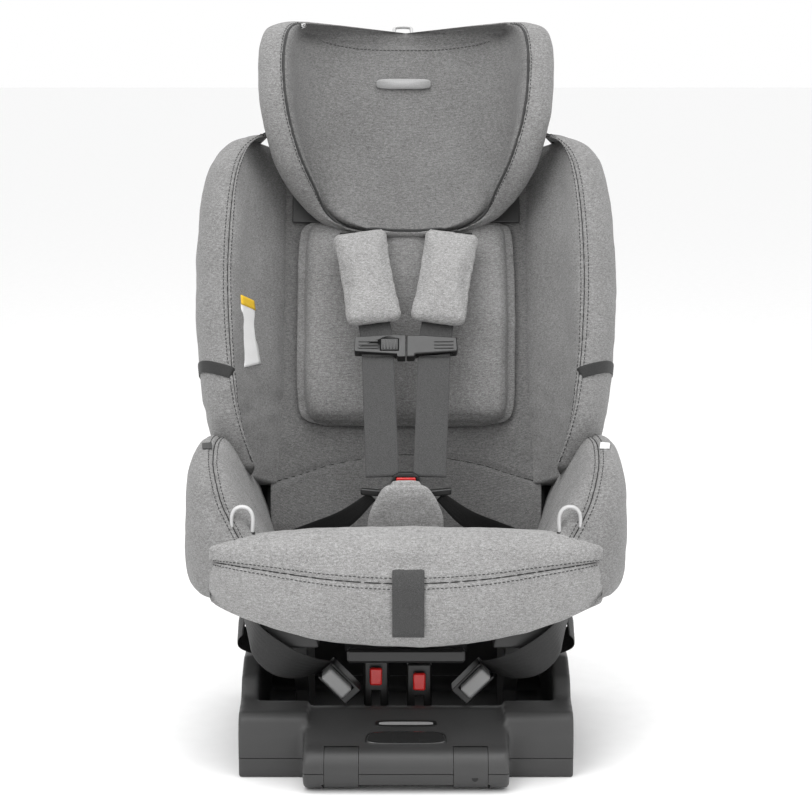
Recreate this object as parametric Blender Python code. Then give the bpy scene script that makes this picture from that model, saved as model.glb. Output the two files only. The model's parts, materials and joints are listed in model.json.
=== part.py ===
"""Convertible child car seat: base with recline rails and flip foot, seat shell with its pads,
five-point harness, and a headrest that slides up the back with the shoulder straps.

Metres, +Z up. The seat faces -Y and X runs across it; "left" is the -X side.
"""

import math

import bmesh
import bpy
from mathutils import Matrix, Vector

# Driving dimensions
BIGHT = (0.035, 0.205)  # y, z where the seat surface meets the back surface
RECLINE = math.radians(22)  # the back leans this far from upright
PAN_TILT = math.radians(14)  # the seat surface rises this much towards the front
SHELL_HALF = 0.219  # half the width of the plastic shell
SHELL_WALL = 0.005
SHELL_BEHIND = 0.013  # from the pads' surface down to the shell's inner face
BACK_TOP = 0.470  # height of the shell along the back, from the bight
FRAME_SHIFT = -0.0198  # moves the whole seat so that the origin is under its middle
GAP = 0.0005

# Base
BASE_HALF = 0.185
BASE_FRONT = -0.205
BASE_REAR = 0.140
SEAM_Z = 0.0225  # the base's two halves meet here
NOSE_HALF = 0.112  # half the width of the middle block that sticks out in front
PIVOT = (-0.2392, 0.0236)  # y, z of the flip foot's axle
NOSE_RADIUS = 0.0225
KNUCKLE = (0.0515, 0.0885)  # the flip foot's knuckles lie between these distances from the middle
AXLE_RADIUS = 0.004

# Recline track: runners under the shell and rails in the base are arcs about one line
TRACK_CENTRE = (-0.040, 0.470)  # y, z
TRACK_RADIUS = 0.345

# Harness
STRAP_WIDTH = 0.038
STRAP_THICK = 0.0014
LATCH_WIDTH = 0.025
STRAP_TOP = (0.377, 0.036)  # s, d: along the back, and in front of it
STRAP_END = (0.060, 0.1385)
CLIP_S = 0.226
SLOT_X, CLIP_X, TONGUE_X = 0.057, 0.034, 0.027  # distance of a strap's middle line from the seat's middle

COLOURS = {
    "fabric": ((0.23, 0.23, 0.22), 0.95, 0.0),
    "webbing": ((0.08, 0.08, 0.08), 0.8, 0.0),
    "black_webbing": ((0.02, 0.02, 0.02), 0.8, 0.0),
    "dark_plastic": ((0.06, 0.06, 0.058), 0.5, 0.0),
    "black_plastic": ((0.015, 0.015, 0.015), 0.35, 0.0),
    "grey_plastic": ((0.35, 0.35, 0.34), 0.45, 0.0),
    "pale_plastic": ((0.65, 0.65, 0.63), 0.35, 0.0),
    "red_plastic": ((0.62, 0.02, 0.02), 0.4, 0.0),
    "rubber": ((0.02, 0.02, 0.02), 0.9, 0.0),
    "steel": ((0.6, 0.6, 0.6), 0.3, 1.0),
}


def back(x, s, d):
    """A point s up the back from the bight and d in front of its surface."""
    y = BIGHT[0] + s * math.sin(RECLINE) - d * math.cos(RECLINE)
    z = BIGHT[1] + s * math.cos(RECLINE) + d * math.sin(RECLINE)
    return Vector((x, y, z))


def pan(x, q, h):
    """A point q forward from the bight and h above the seat surface."""
    y = BIGHT[0] - q * math.cos(PAN_TILT) + h * math.sin(PAN_TILT)
    z = BIGHT[1] + q * math.sin(PAN_TILT) + h * math.cos(PAN_TILT)
    return Vector((x, y, z))


def yz(point):
    return (point.y, point.z)


def pan_back_corner(offset):
    """Where the seat plane and the back plane cross once both are moved by offset, as y, z."""
    seat, rest = pan(0, 0, offset), back(0, 0, offset)
    run = Vector((0, -math.cos(PAN_TILT), math.sin(PAN_TILT)))
    rise = Vector((0, math.sin(RECLINE), math.cos(RECLINE)))
    gap = rest - seat
    cross = run.y * rise.z - run.z * rise.y
    along = (gap.y * rise.z - gap.z * rise.y) / cross
    return yz(seat + run * along)


def fillet(before, corner, after, radius, steps=5):
    """Points of an arc of this radius that rounds the corner between two other points."""
    a, c, b = Vector(before), Vector(corner), Vector(after)
    to_a, to_b = (a - c).normalized(), (b - c).normalized()
    half = to_a.angle(to_b) / 2
    start = c + to_a * (radius / math.tan(half))
    centre = c + (to_a + to_b).normalized() * (radius / math.sin(half))
    first = start - centre
    turn = (c + to_b * (radius / math.tan(half)) - centre).angle_signed(first)
    points = []
    for i in range(steps + 1):
        points.append(tuple(centre + Matrix.Rotation(turn * i / steps, 2) @ first))
    return points


def arc(centre, radius, start, end, steps):
    """Points on a circle in the y, z plane; the angles are in degrees from +y towards +z."""
    points = []
    for i in range(steps + 1):
        angle = math.radians(start + (end - start) * i / steps)
        points.append((centre[0] + radius * math.cos(angle), centre[1] + radius * math.sin(angle)))
    return points


# Making objects


def material(name):
    if name not in bpy.data.materials:
        colour, roughness, metallic = COLOURS[name]
        made = bpy.data.materials.new(name)
        made.use_nodes = True
        shader = made.node_tree.nodes["Principled BSDF"]
        shader.inputs["Base Color"].default_value = (*colour, 1)
        shader.inputs["Roughness"].default_value = roughness
        shader.inputs["Metallic"].default_value = metallic
    return bpy.data.materials[name]


def solid(name, points, faces, finish, smooth=False):
    """An object from points and faces, with its faces turned to point out."""
    mesh = bpy.data.meshes.new(name)
    mesh.from_pydata([tuple(p) for p in points], [], faces)
    tidy = bmesh.new()
    tidy.from_mesh(mesh)
    bmesh.ops.recalc_face_normals(tidy, faces=tidy.faces)
    if tidy.calc_volume(signed=True) < 0:
        bmesh.ops.reverse_faces(tidy, faces=tidy.faces)
    tidy.to_mesh(mesh)
    tidy.free()
    mesh.materials.append(material(finish))
    if smooth:
        mesh.shade_smooth()
        mesh.set_sharp_from_angle(angle=math.radians(40))
    made = bpy.data.objects.new(name, mesh)
    bpy.context.scene.collection.objects.link(made)
    return made


def loft(name, rings, finish, smooth=True):
    """A closed solid through rings of equally many points, with flat caps at both ends."""
    count = len(rings[0])
    points = [p for ring in rings for p in ring]
    faces = [list(range(count)), list(range(len(points) - count, len(points)))]
    for i in range(len(rings) - 1):
        for j in range(count):
            k = (j + 1) % count
            faces.append([i * count + j, i * count + k, (i + 1) * count + k, (i + 1) * count + j])
    return solid(name, points, faces, finish, smooth)


def prism(name, outline, low, high, finish, axis="X"):
    """An outline extruded from low to high: y, z points along X, x, z along Y, and x, y along Z."""
    place = {
        "X": lambda p, t: (t, p[0], p[1]),
        "Y": lambda p, t: (p[0], t, p[1]),
        "Z": lambda p, t: (p[0], p[1], t),
    }[axis]
    rings = [[place(p, end) for p in outline] for end in (low, high)]
    return loft(name, rings, finish, False)


def box(name, low, high, finish, bevel=0.0):
    outline = [(low[0], low[1]), (high[0], low[1]), (high[0], high[1]), (low[0], high[1])]
    made = prism(name, outline, low[2], high[2], finish, "Z")
    return rounded(made, bevel)


def rounded(made, width, segments=1):
    if width:
        bevel = made.modifiers.new("Rounded edges", "BEVEL")
        bevel.width = width
        bevel.segments = segments
    return made


def placed_box(name, origin, axes, low, high, finish, bevel=0.0):
    """A box given in its own axes (three unit vectors) about an origin."""
    rings = []
    for w in (low[2], high[2]):
        corners = [(low[0], low[1]), (high[0], low[1]), (high[0], high[1]), (low[0], high[1])]
        rings.append([origin + axes[0] * u + axes[1] * v + axes[2] * w for u, v in corners])
    return rounded(loft(name, rings, finish, False), bevel)


def box_on_back(name, low, high, finish, bevel=0.0):
    """A box whose corners are given as x, height up the back, and distance in front of it."""
    origin = back(0, 0, 0)
    axes = (Vector((1, 0, 0)), back(0, 1, 0) - origin, back(0, 0, 1) - origin)
    return placed_box(name, origin, axes, low, high, finish, bevel)


def drum(name, radius, low, high, centre, finish, sides=24):
    """A cylinder along X."""
    return prism(name, arc(centre, radius, 0, 360 * (1 - 1 / sides), sides - 1), low, high, finish)


def ribbon(name, path, across, widths, thick, finish):
    """Flat webbing along a path; across and widths hold one width direction and width for each point."""
    points = []
    for i, point in enumerate(path):
        ahead = (path[min(i + 1, len(path) - 1)] - path[max(i - 1, 0)]).normalized()
        side = (across[i] - ahead * across[i].dot(ahead)).normalized()
        up = ahead.cross(side) * thick / 2
        side = side * widths[i] / 2
        points += [point - side - up, point + side - up, point + side + up, point - side + up]
    last = len(points) - 4
    faces = [(0, 1, 2, 3), (last, last + 1, last + 2, last + 3)]
    for a in range(0, last, 4):
        b = a + 4
        # Both faces of a twisted stretch are split along the same diagonal, so that they stay apart.
        faces += [(a, a + 1, b + 1), (a, b + 1, b), (a + 3, b + 2, a + 2), (a + 3, b + 3, b + 2)]
        faces += [(a + 1, a + 2, b + 2, b + 1), (a, b, b + 3, a + 3)]
    return solid(name, points, faces, finish)


def straight_ribbon(name, path, across, width, thick, finish):
    return ribbon(name, path, [across] * len(path), [width] * len(path), thick, finish)


def tube(name, path, radius, finish, sides=8):
    """A round bar along an open path of points, with filled ends."""
    curve = bpy.data.curves.new(name, "CURVE")
    curve.dimensions = "3D"
    curve.bevel_depth = radius
    curve.bevel_resolution = (sides - 4) // 2
    curve.use_fill_caps = True
    line = curve.splines.new("POLY")
    line.points.add(len(path) - 1)
    for point, place in zip(line.points, path):
        point.co = (*place, 1)
    curve.materials.append(material(finish))
    made = bpy.data.objects.new(name, curve)
    bpy.context.scene.collection.objects.link(made)
    return made


def cut(made, cutter, operation="DIFFERENCE"):
    cutter.hide_render = True
    cutter.display_type = "WIRE"
    boolean = made.modifiers.new(operation.title(), "BOOLEAN")
    boolean.operation = operation
    boolean.object = cutter
    return made


def join(made, other):
    return cut(made, other, "UNION")


def keep_inside(made, other):
    return cut(made, other, "INTERSECT")


def set_origin(made, point):
    """Puts the object's origin on its joint's axis, without moving its shape."""
    made.data.transform(Matrix.Translation(-Vector(point)))
    made.location = point
    return made


def helper(name):
    """The name of a cutter or of a shape that is joined to another."""
    return "helper_" + name


# Base


def base_half(name, low, high):
    """The part of the whole base's outer shape between two heights."""
    nose_top = fillet((-0.262, 0.047), (-0.236, 0.0465), (-0.172, 0.070), 0.02, 3)
    nose = [(-0.160, -0.001), (PIVOT[0], PIVOT[1] - NOSE_RADIUS)]
    nose += arc(PIVOT, NOSE_RADIUS, 262, 100, 12) + nose_top[-1:] + [(-0.172, 0.070), (-0.160, 0.070)]
    made = prism(name, nose, -NOSE_HALF, NOSE_HALF, "dark_plastic")
    side = [(BASE_FRONT, -0.001), (BASE_FRONT - 0.002, 0.050), (-0.202, 0.066), (-0.194, 0.072)]
    side += [(-0.158, 0.078)]
    side += [(-0.140, 0.098), (-0.105, 0.112), (0.100, 0.116), (0.130, 0.106), (BASE_REAR, 0.090)]
    side += [(BASE_REAR, -0.001)]
    inner, overlap = BASE_HALF - 0.020, 0.004
    for sign, word in ((-1, "left"), (1, "right")):
        ends = sorted((sign * (NOSE_HALF - overlap), sign * BASE_HALF))
        block = prism(helper(f"{name}_side_{word}"), side, *ends, "dark_plastic")
        ends = sorted((sign * inner, 0))
        cut(block, box(helper(f"{name}_well_{word}"), (ends[0], -0.165, -0.01), (ends[1], 0.3, 0.3), "dark_plastic"))
        join(made, block)
    rear = box(helper(name + "_rear"), (-inner, 0.126, -0.001), (inner, BASE_REAR - 0.001, 0.088), "dark_plastic")
    join(made, rear)
    band = box(helper(name + "_band"), (-0.3, -0.3, low), (0.3, 0.3, high), "dark_plastic")
    if low == 0:
        join(made, box(helper("floor"), (-0.176, -0.190, -0.001), (0.176, 0.135, 0.100), "dark_plastic"))
    keep_inside(made, band)
    for sign, word in ((-1, "left"), (1, "right")):
        ends = sorted((sign * (KNUCKLE[0] - GAP), sign * (KNUCKLE[1] + GAP)))
        low_end, high_end = (ends[0], -0.280, -0.1), (ends[1], -0.2145, 0.1)
        cut(made, box(helper(f"{name}_slot_{word}"), low_end, high_end, "dark_plastic"))
    cut(made, drum(helper(name + "_axle_hole"), AXLE_RADIUS + 0.0003, -0.1055, 0.1055, PIVOT, "dark_plastic"))
    return made


def make_base():
    lower = base_half("base_lower", 0.0, SEAM_Z - 0.0002)
    recess = box(helper("foot_recess"), (-0.0920, -0.250, -0.1), (0.0920, -0.0860, 0.0135), "dark_plastic")
    cut(lower, recess)
    cut(lower, box(helper("tray"), (-0.168, -0.072, 0.004), (0.168, 0.125, 0.1), "dark_plastic"))
    base_half("base_upper", SEAM_Z + 0.0002, 0.2)
    drum("foot_axle", AXLE_RADIUS, -0.105, 0.105, PIVOT, "steel", 16)
    low_y, high_y, radius = -0.118, 0.095, TRACK_RADIUS + 0.0008
    start = math.degrees(math.acos((low_y - TRACK_CENTRE[0]) / radius))
    end = math.degrees(math.acos((high_y - TRACK_CENTRE[0]) / radius))
    rail = arc(TRACK_CENTRE, radius, -start, -end, 14)
    rail += [(high_y, 0.0043), (-0.066, 0.0043), (-0.066, 0.060), (low_y, 0.095)]
    for sign, word in ((-1, "left"), (1, "right")):
        ends = sorted((sign * 0.112, sign * 0.128))
        prism("recline_rail_" + word, rail, *ends, "dark_plastic")


def make_flip_foot():
    """A frame that folds under the base; its knuckles close the gaps in the base's nose."""
    made = box("flip_foot", (-KNUCKLE[1], -0.150, 0.0015), (KNUCKLE[1], -0.0950, 0.0120), "dark_plastic")
    for sign, word in ((-1, "left"), (1, "right")):
        ends = sorted((sign * KNUCKLE[0], sign * KNUCKLE[1]))
        arm = [(-0.140, 0.0018), (-0.140, 0.0117), (PIVOT[0], 0.0117), (PIVOT[0], 0.0018)]
        join(made, prism(helper("arm_" + word), arm, ends[0] + 0.0004, ends[1] - 0.0004, "dark_plastic"))
        join(made, drum(helper("knuckle_" + word), NOSE_RADIUS - 0.0003, *ends, PIVOT, "dark_plastic", 28))
    cut(made, drum(helper("foot_bore"), AXLE_RADIUS + 0.0003, -0.2, 0.2, PIVOT, "dark_plastic", 16))
    tread = box("foot_tread", (-0.080, -0.0945, 0.0020), (0.080, -0.0895, 0.0115), "rubber", 0.001)
    return made, tread


def make_latch_storage():
    """The lower-anchor connectors and strap adjusters kept in the base."""
    for sign, word in ((-1, "left"), (1, "right")):
        outward = Vector((sign * 0.70, 0, 0.714))
        across = Vector((0, 1, 0))
        axes = (outward, across, outward.cross(across))
        middle = Vector((sign * 0.0760, -0.150, 0.0965))
        low, high = (-0.024, -0.014, -0.012), (0.020, 0.014, 0.012)
        body = placed_box("latch_adjuster_" + word, middle, axes, low, high, "black_plastic")
        low, high = (-0.016, -0.030, -0.0085), (0.030, 0.0045, 0.0085)
        cut(body, placed_box(helper("button_well_" + word), middle, axes, low, high, "black_plastic"))
        low, high = (-0.0150, -0.0240, -0.0080), (0.0190, -0.0020, 0.0080)
        button = placed_box("latch_button_" + word, middle, axes, low, high, "grey_plastic", 0.002)
        axle = middle + outward * 0.016
        set_origin(button, (0, axle.y, axle.z))
        # The webbing runs from the adjuster out to the shell's side, and its tail loops back down.
        start = middle + outward * 0.0245
        across_belt = Vector((0, -0.35, 0.94))
        path = [start, Vector((sign * 0.1120, -0.1560, 0.1240)), Vector((sign * 0.1400, -0.1640, 0.1390))]
        path += [Vector((sign * 0.1620, -0.1600, 0.1560)), Vector((sign * 0.1780, -0.1420, 0.1660))]
        belt = [across, Vector((sign * -0.3, 0.7, 0.5)), Vector((sign * -0.3, 0.4, 0.8)), across_belt, across_belt]
        ribbon("latch_webbing_" + word, path, belt, [LATCH_WIDTH] * 5, STRAP_THICK, "black_webbing")
        tail = [Vector((sign * 0.1810, -0.1360, 0.1600)), Vector((sign * 0.1880, -0.1240, 0.1500))]
        tail += [Vector((sign * 0.1890, -0.1120, 0.1380)), Vector((sign * 0.1780, -0.1040, 0.1290))]
        tail += [Vector((sign * 0.1560, -0.1000, 0.1215))]
        straight_ribbon("latch_tail_" + word, tail, Vector((0, 1, 0.2)), LATCH_WIDTH, STRAP_THICK, "black_webbing")
        middle = Vector((-0.0340, -0.120, 0.0890)) if sign < 0 else Vector((0.0150, -0.120, 0.0830))
        low, high = middle + Vector((-0.014, -0.010, -0.030)), middle + Vector((0.014, 0.010, 0.026))
        hook = box("latch_connector_" + word, low, high, "black_plastic", 0.002)
        low, high = middle + Vector((-0.005, -0.020, -0.049)), middle + Vector((0.005, 0.020, -0.011))
        cut(hook, box(helper("hook_mouth_" + word), low, high, "black_plastic"))
        low, high = middle + Vector((-0.007, -0.0190, -0.003)), middle + Vector((0.007, -0.0125, 0.017))
        box("connector_release_" + word, low, high, "red_plastic", 0.0015)


# Shell and covers


def shell_side(offset, grow):
    """The tub seen from the side, as y, z; its faces lie offset below the pads' surface."""
    corner = pan_back_corner(-offset)
    front, top = yz(pan(0, 0.222 + grow, -offset)), yz(back(0, BACK_TOP + grow, -offset))
    line = [front] + fillet(front, corner, top, 0.017 + offset, 6) + [top]
    rim = [back(0, BACK_TOP + grow, 0.010), back(0, 0.445 + grow, 0.060 + grow), back(0, 0.400, 0.080 + grow)]
    rim += [back(0, 0.150, 0.080 + grow), pan(0, 0.100, 0.075 + grow), pan(0, 0.185, 0.055 + grow)]
    rim += [pan(0, 0.222 + grow, 0.010)]
    return line + [yz(p) for p in rim]


def hollow_side(offset):
    """The tub's inside seen from the side; it runs out past the rim, the front and the top."""
    corner = pan_back_corner(-offset)
    front, top = yz(pan(0, 0.4, -offset)), yz(back(0, BACK_TOP + 0.1, -offset))
    line = [front] + fillet(front, corner, top, 0.017 + offset, 6) + [top]
    return line + [yz(back(0, BACK_TOP + 0.1, 0.4)), yz(pan(0, 0.4, 0.2))]


def bowl(inset):
    """The lower shell seen from the front, as x, z: its walls lean in and round off to a flat bottom."""
    half = [(0.219, 0.80), (0.219, 0.262), (0.213, 0.232), (0.199, 0.206), (0.177, 0.187), (0.148, 0.176)]
    half = [(x - inset, z + inset * 0.7) for x, z in half] + [(0.0, 0.170 + inset)]
    return half + [(-x, z) for x, z in reversed(half[:-1])]


def back_corner(sign, inset):
    """The slant that cuts off the corner between the back and one side wall, seen along the back."""
    x, d = -0.728 * inset, 0.686 * inset
    return [(sign * (0.170 + x), -0.018 + d), (sign * (0.219 + x), 0.034 + d), (sign * 0.26, 0.034 + d)] + [
        (sign * 0.26, -0.050),
        (sign * (0.170 + x), -0.050),
    ]


def tub(name, grow):
    """The moulded tub: a seat, a back and two side walls in one piece, with every face moved out by grow."""
    made = prism(name, shell_side(0.018 + grow, grow), -SHELL_HALF - grow, SHELL_HALF + grow, "dark_plastic")
    keep_inside(made, prism(helper(name + "_bowl"), bowl(-grow), -0.4, 0.5, "dark_plastic", "Y"))
    inner = SHELL_HALF - SHELL_WALL - grow
    hollow = prism(helper(name + "_hollow"), hollow_side(SHELL_BEHIND - grow), -inner, inner, "dark_plastic")
    keep_inside(hollow, prism(helper(name + "_inner_bowl"), bowl(SHELL_WALL + grow), -0.5, 0.6, "dark_plastic", "Y"))
    for sign, word in ((-1, "left"), (1, "right")):
        for other, inset, side in ((made, -grow, "outer"), (hollow, SHELL_WALL + grow, "inner")):
            rings = [[back(x, s, d) for x, d in back_corner(sign, inset)] for s in (-0.1, 0.7)]
            cut(other, loft(helper(f"{name}_{side}_corner_{word}"), rings, "dark_plastic", False))
    cut(made, hollow)
    return made


def runner_outline(radius, low_y, high_y, count):
    """An arc of the recline track from front to back, closed along the underside of the seat, as y, z."""
    outline = []
    for i in range(count + 1):
        y = low_y + (high_y - low_y) * i / count
        outline.append((y, TRACK_CENTRE[1] - math.sqrt(radius**2 - (y - TRACK_CENTRE[0]) ** 2)))
    front_q = (BIGHT[0] - low_y) / math.cos(PAN_TILT)
    return outline + [(high_y, 0.200), yz(pan(0, 0.0, -0.0155)), yz(pan(0, front_q, -0.0155))]


def make_shell():
    """The tub, with the two curved runners and the keel between them that it reclines on."""
    made = tub("seat_shell", 0.0)
    for sign, word in ((-1, "left"), (1, "right")):
        ends = sorted((sign * 0.098, sign * 0.150))
        runner = runner_outline(TRACK_RADIUS, -0.150, 0.105, 12)
        join(made, prism(helper("runner_" + word), runner, *ends, "dark_plastic"))
    for half, radius, low_y in ((0.088, TRACK_RADIUS - 0.002, -0.132), (0.070, TRACK_RADIUS + 0.017, -0.086)):
        keel = runner_outline(radius, low_y, 0.090, 8)
        join(made, prism(helper(f"keel_{radius:.3f}"), keel, -half, half, "dark_plastic"))


def make_bolsters(clearance):
    """The padded sides of the back; each one wraps over the shell's side wall."""
    stations = [
        (0.125, 0.2265, 0.122),
        (0.160, 0.2350, 0.124),
        (0.230, 0.2460, 0.124),
        (0.310, 0.2500, 0.121),
        (0.390, 0.2480, 0.114),
        (0.440, 0.2420, 0.104),
        (0.466, 0.2330, 0.092),
        (0.482, 0.2210, 0.078),
        (0.491, 0.2060, 0.060),
    ]
    for sign, word in ((-1, "left"), (1, "right")):
        rings = []
        for s, outer, crest in stations:
            full = crest / 0.121
            ring = [(0.1455, -0.0120), (0.167, -0.0120), (min(0.2165, outer - 0.004), 0.037)]
            ring += [(min(0.2165, outer - 0.004), 0.010), (outer - 0.003, 0.008), (outer - 0.001, crest * 0.35)]
            ring += [(outer, crest * 0.62), (outer - 0.004, crest * 0.85), (outer - 0.014, crest - 0.003)]
            ring += [(0.5 * outer + 0.098, crest), (0.198 - 0.012 * (1 - full), crest - 0.010)]
            ring += [(0.186, 0.078 * full), (0.170, 0.042 * full), (0.156, 0.018 * full), (0.1455, 0.001)]
            rings.append([back(sign * x, s, d) for x, d in ring])
        cut(loft("back_bolster_" + word, rings, "fabric"), clearance)


def make_wings(clearance):
    """The padded sides of the seat; each one wraps over the shell's side wall."""
    stations = [
        (-0.1995, 0.0, 0.2120, 0.2620, 0.1970),
        (-0.1750, 0.0, 0.2340, 0.3000, 0.1980),
        (-0.1400, 0.0, 0.2450, 0.3300, 0.2000),
        (-0.1000, 0.04, 0.2490, 0.3450, 0.2030),
        (-0.0600, 0.10, 0.2490, 0.3520, 0.2060),
        (-0.0200, 0.20, 0.2450, 0.3450, 0.2100),
        (0.0450, 0.33, 0.2370, 0.3150, 0.2150),
    ]
    for sign, word in ((-1, "left"), (1, "right")):
        rings = []
        for y, lean, outer, top, low in stations:
            floor = min(BIGHT[1] + (BIGHT[0] - y) * math.tan(PAN_TILT) + 0.001, top - 0.020)
            wall = min(0.2165, outer - 0.010)
            rise = min(0.018, (top - floor) * 0.3)
            crest = outer - 0.050
            ring = [(0.1510, floor), (0.1760, floor + 0.001), (wall - 0.016, floor + rise * 0.5)]
            ring += [(wall, floor + rise)]
            ring += [(wall, low + 0.006), (wall + 0.005, low), (outer - 0.003, low + 0.004)]
            ring += [(outer, low + (top - low) * 0.42), (outer - 0.003, low + (top - low) * 0.78)]
            ring += [(outer - 0.014, top - 0.004), (outer - 0.030, top), (crest, top - (top - floor) * 0.1)]
            for share, up in ((0.36, 0.38), (0.1, 0.12)):
                ring.append((0.151 + (crest - 0.151) * share, floor + (top - floor) * up))
            rings.append([Vector((sign * x, y + (z - floor) * lean, z)) for x, z in ring])
        made = loft("seat_wing_" + word, rings, "fabric")
        cut(made, clearance)
        ends = sorted((sign * 0.1640, sign * 0.1920))
        low_end, high_end = (ends[0], -0.1700, 0.2700), (ends[1], -0.1600, 0.3500)
        cut(made, box(helper("holder_slit_" + word), low_end, high_end, "fabric"))


def make_pads():
    seat = [yz(pan(0, q, -0.0120)) for q in (0.0270, 0.1400)] + [yz(pan(0, q, 0)) for q in (0.140, 0.0165)]
    prism("seat_pad", seat, -0.1495, 0.1495, "fabric")
    rest = [yz(back(0, s, d)) for s, d in ((0.0140, -0.0120), (0.4690, -0.0120), (0.4690, 0.0), (0.0030, 0.0))]
    prism("back_pad", rest, -0.1440, 0.1440, "fabric")
    # The front lip rolls over the shell's front edge, bowed forward in the middle.
    rings = []
    lip_half = 0.2000
    for x in (-0.200, -0.180, -0.150, -0.105, -0.055, 0.0, 0.055, 0.105, 0.150, 0.180, 0.200):
        bow = abs(x / lip_half)
        front = -0.2460 + 0.036 * bow**2.2
        bottom = 0.1490 + 0.044 * bow**2.2
        crest = 0.2760 - 0.013 * bow**3
        lift = crest - bottom
        section = [(-0.2000, bottom + lift * 0.10), ((front - 0.200) / 2, bottom)]
        section += [(front + 0.004, bottom + lift * 0.10)]
        section += [(front, bottom + lift * 0.30), (front, bottom + lift * 0.52), (front + 0.003, bottom + lift * 0.75)]
        section += [(front * 0.6 - 0.080, crest - 0.006), (-0.2000, crest)]
        rings.append([Vector((x, y, z)) for y, z in section])
    made = loft("front_lip", rings, "fabric")
    roll = [yz(pan(0, 0.1410, -0.0120)), yz(pan(0, 0.1410, 0.0)), (-0.1250, 0.2500), (-0.1550, 0.2700)]
    roll += [(-0.1800, 0.2775), (-0.2050, 0.2740), (-0.2050, 0.2350), (-0.1945, 0.2350)]
    roll += [yz(pan(0, 0.2230, -0.0120))]
    join(made, prism(helper("lip_roll"), roll, -0.1500, 0.1500, "fabric"))
    cut(made, box(helper("adjuster_pocket"), (-0.0200, -0.2600, 0.2440), (0.0250, -0.2020, 0.2585), "fabric"))
    cut(made, box(helper("strap_channel"), (-0.0170, -0.2600, 0.2000), (0.0220, -0.2330, 0.2450), "fabric"))
    box_on_back("body_insert", (-0.122, 0.156, 0.0008), (0.122, 0.3830, 0.0300), "fabric", 0.010)


# Harness


def strap_point(side, t, lift=0.0):
    """A point on a shoulder strap's middle line: t is 0 at the slot and 1 at the buckle tongue."""
    s = STRAP_TOP[0] + (STRAP_END[0] - STRAP_TOP[0]) * t
    d = STRAP_TOP[1] + (STRAP_END[1] - STRAP_TOP[1]) * t
    bend = min(t / 0.45, 1.0)
    x = SLOT_X + (CLIP_X - SLOT_X) * bend + (TONGUE_X - CLIP_X) * max(0.0, (t - 0.45) / 0.55)
    length = math.hypot(STRAP_END[0] - STRAP_TOP[0], STRAP_END[1] - STRAP_TOP[1])
    out_s = (STRAP_END[1] - STRAP_TOP[1]) / length
    out_d = (STRAP_TOP[0] - STRAP_END[0]) / length
    return back(side * x, s + out_s * lift, d + out_d * lift)


def strap_axes(side, t0, t1):
    """Unit vectors across a strap, along it upwards, and out of its face."""
    up = (strap_point(side, t0) - strap_point(side, t1)).normalized()
    out = (strap_point(side, 0.5, 0.1) - strap_point(side, 0.5)).normalized()
    across = up.cross(out).normalized()
    return across, up, out


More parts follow.
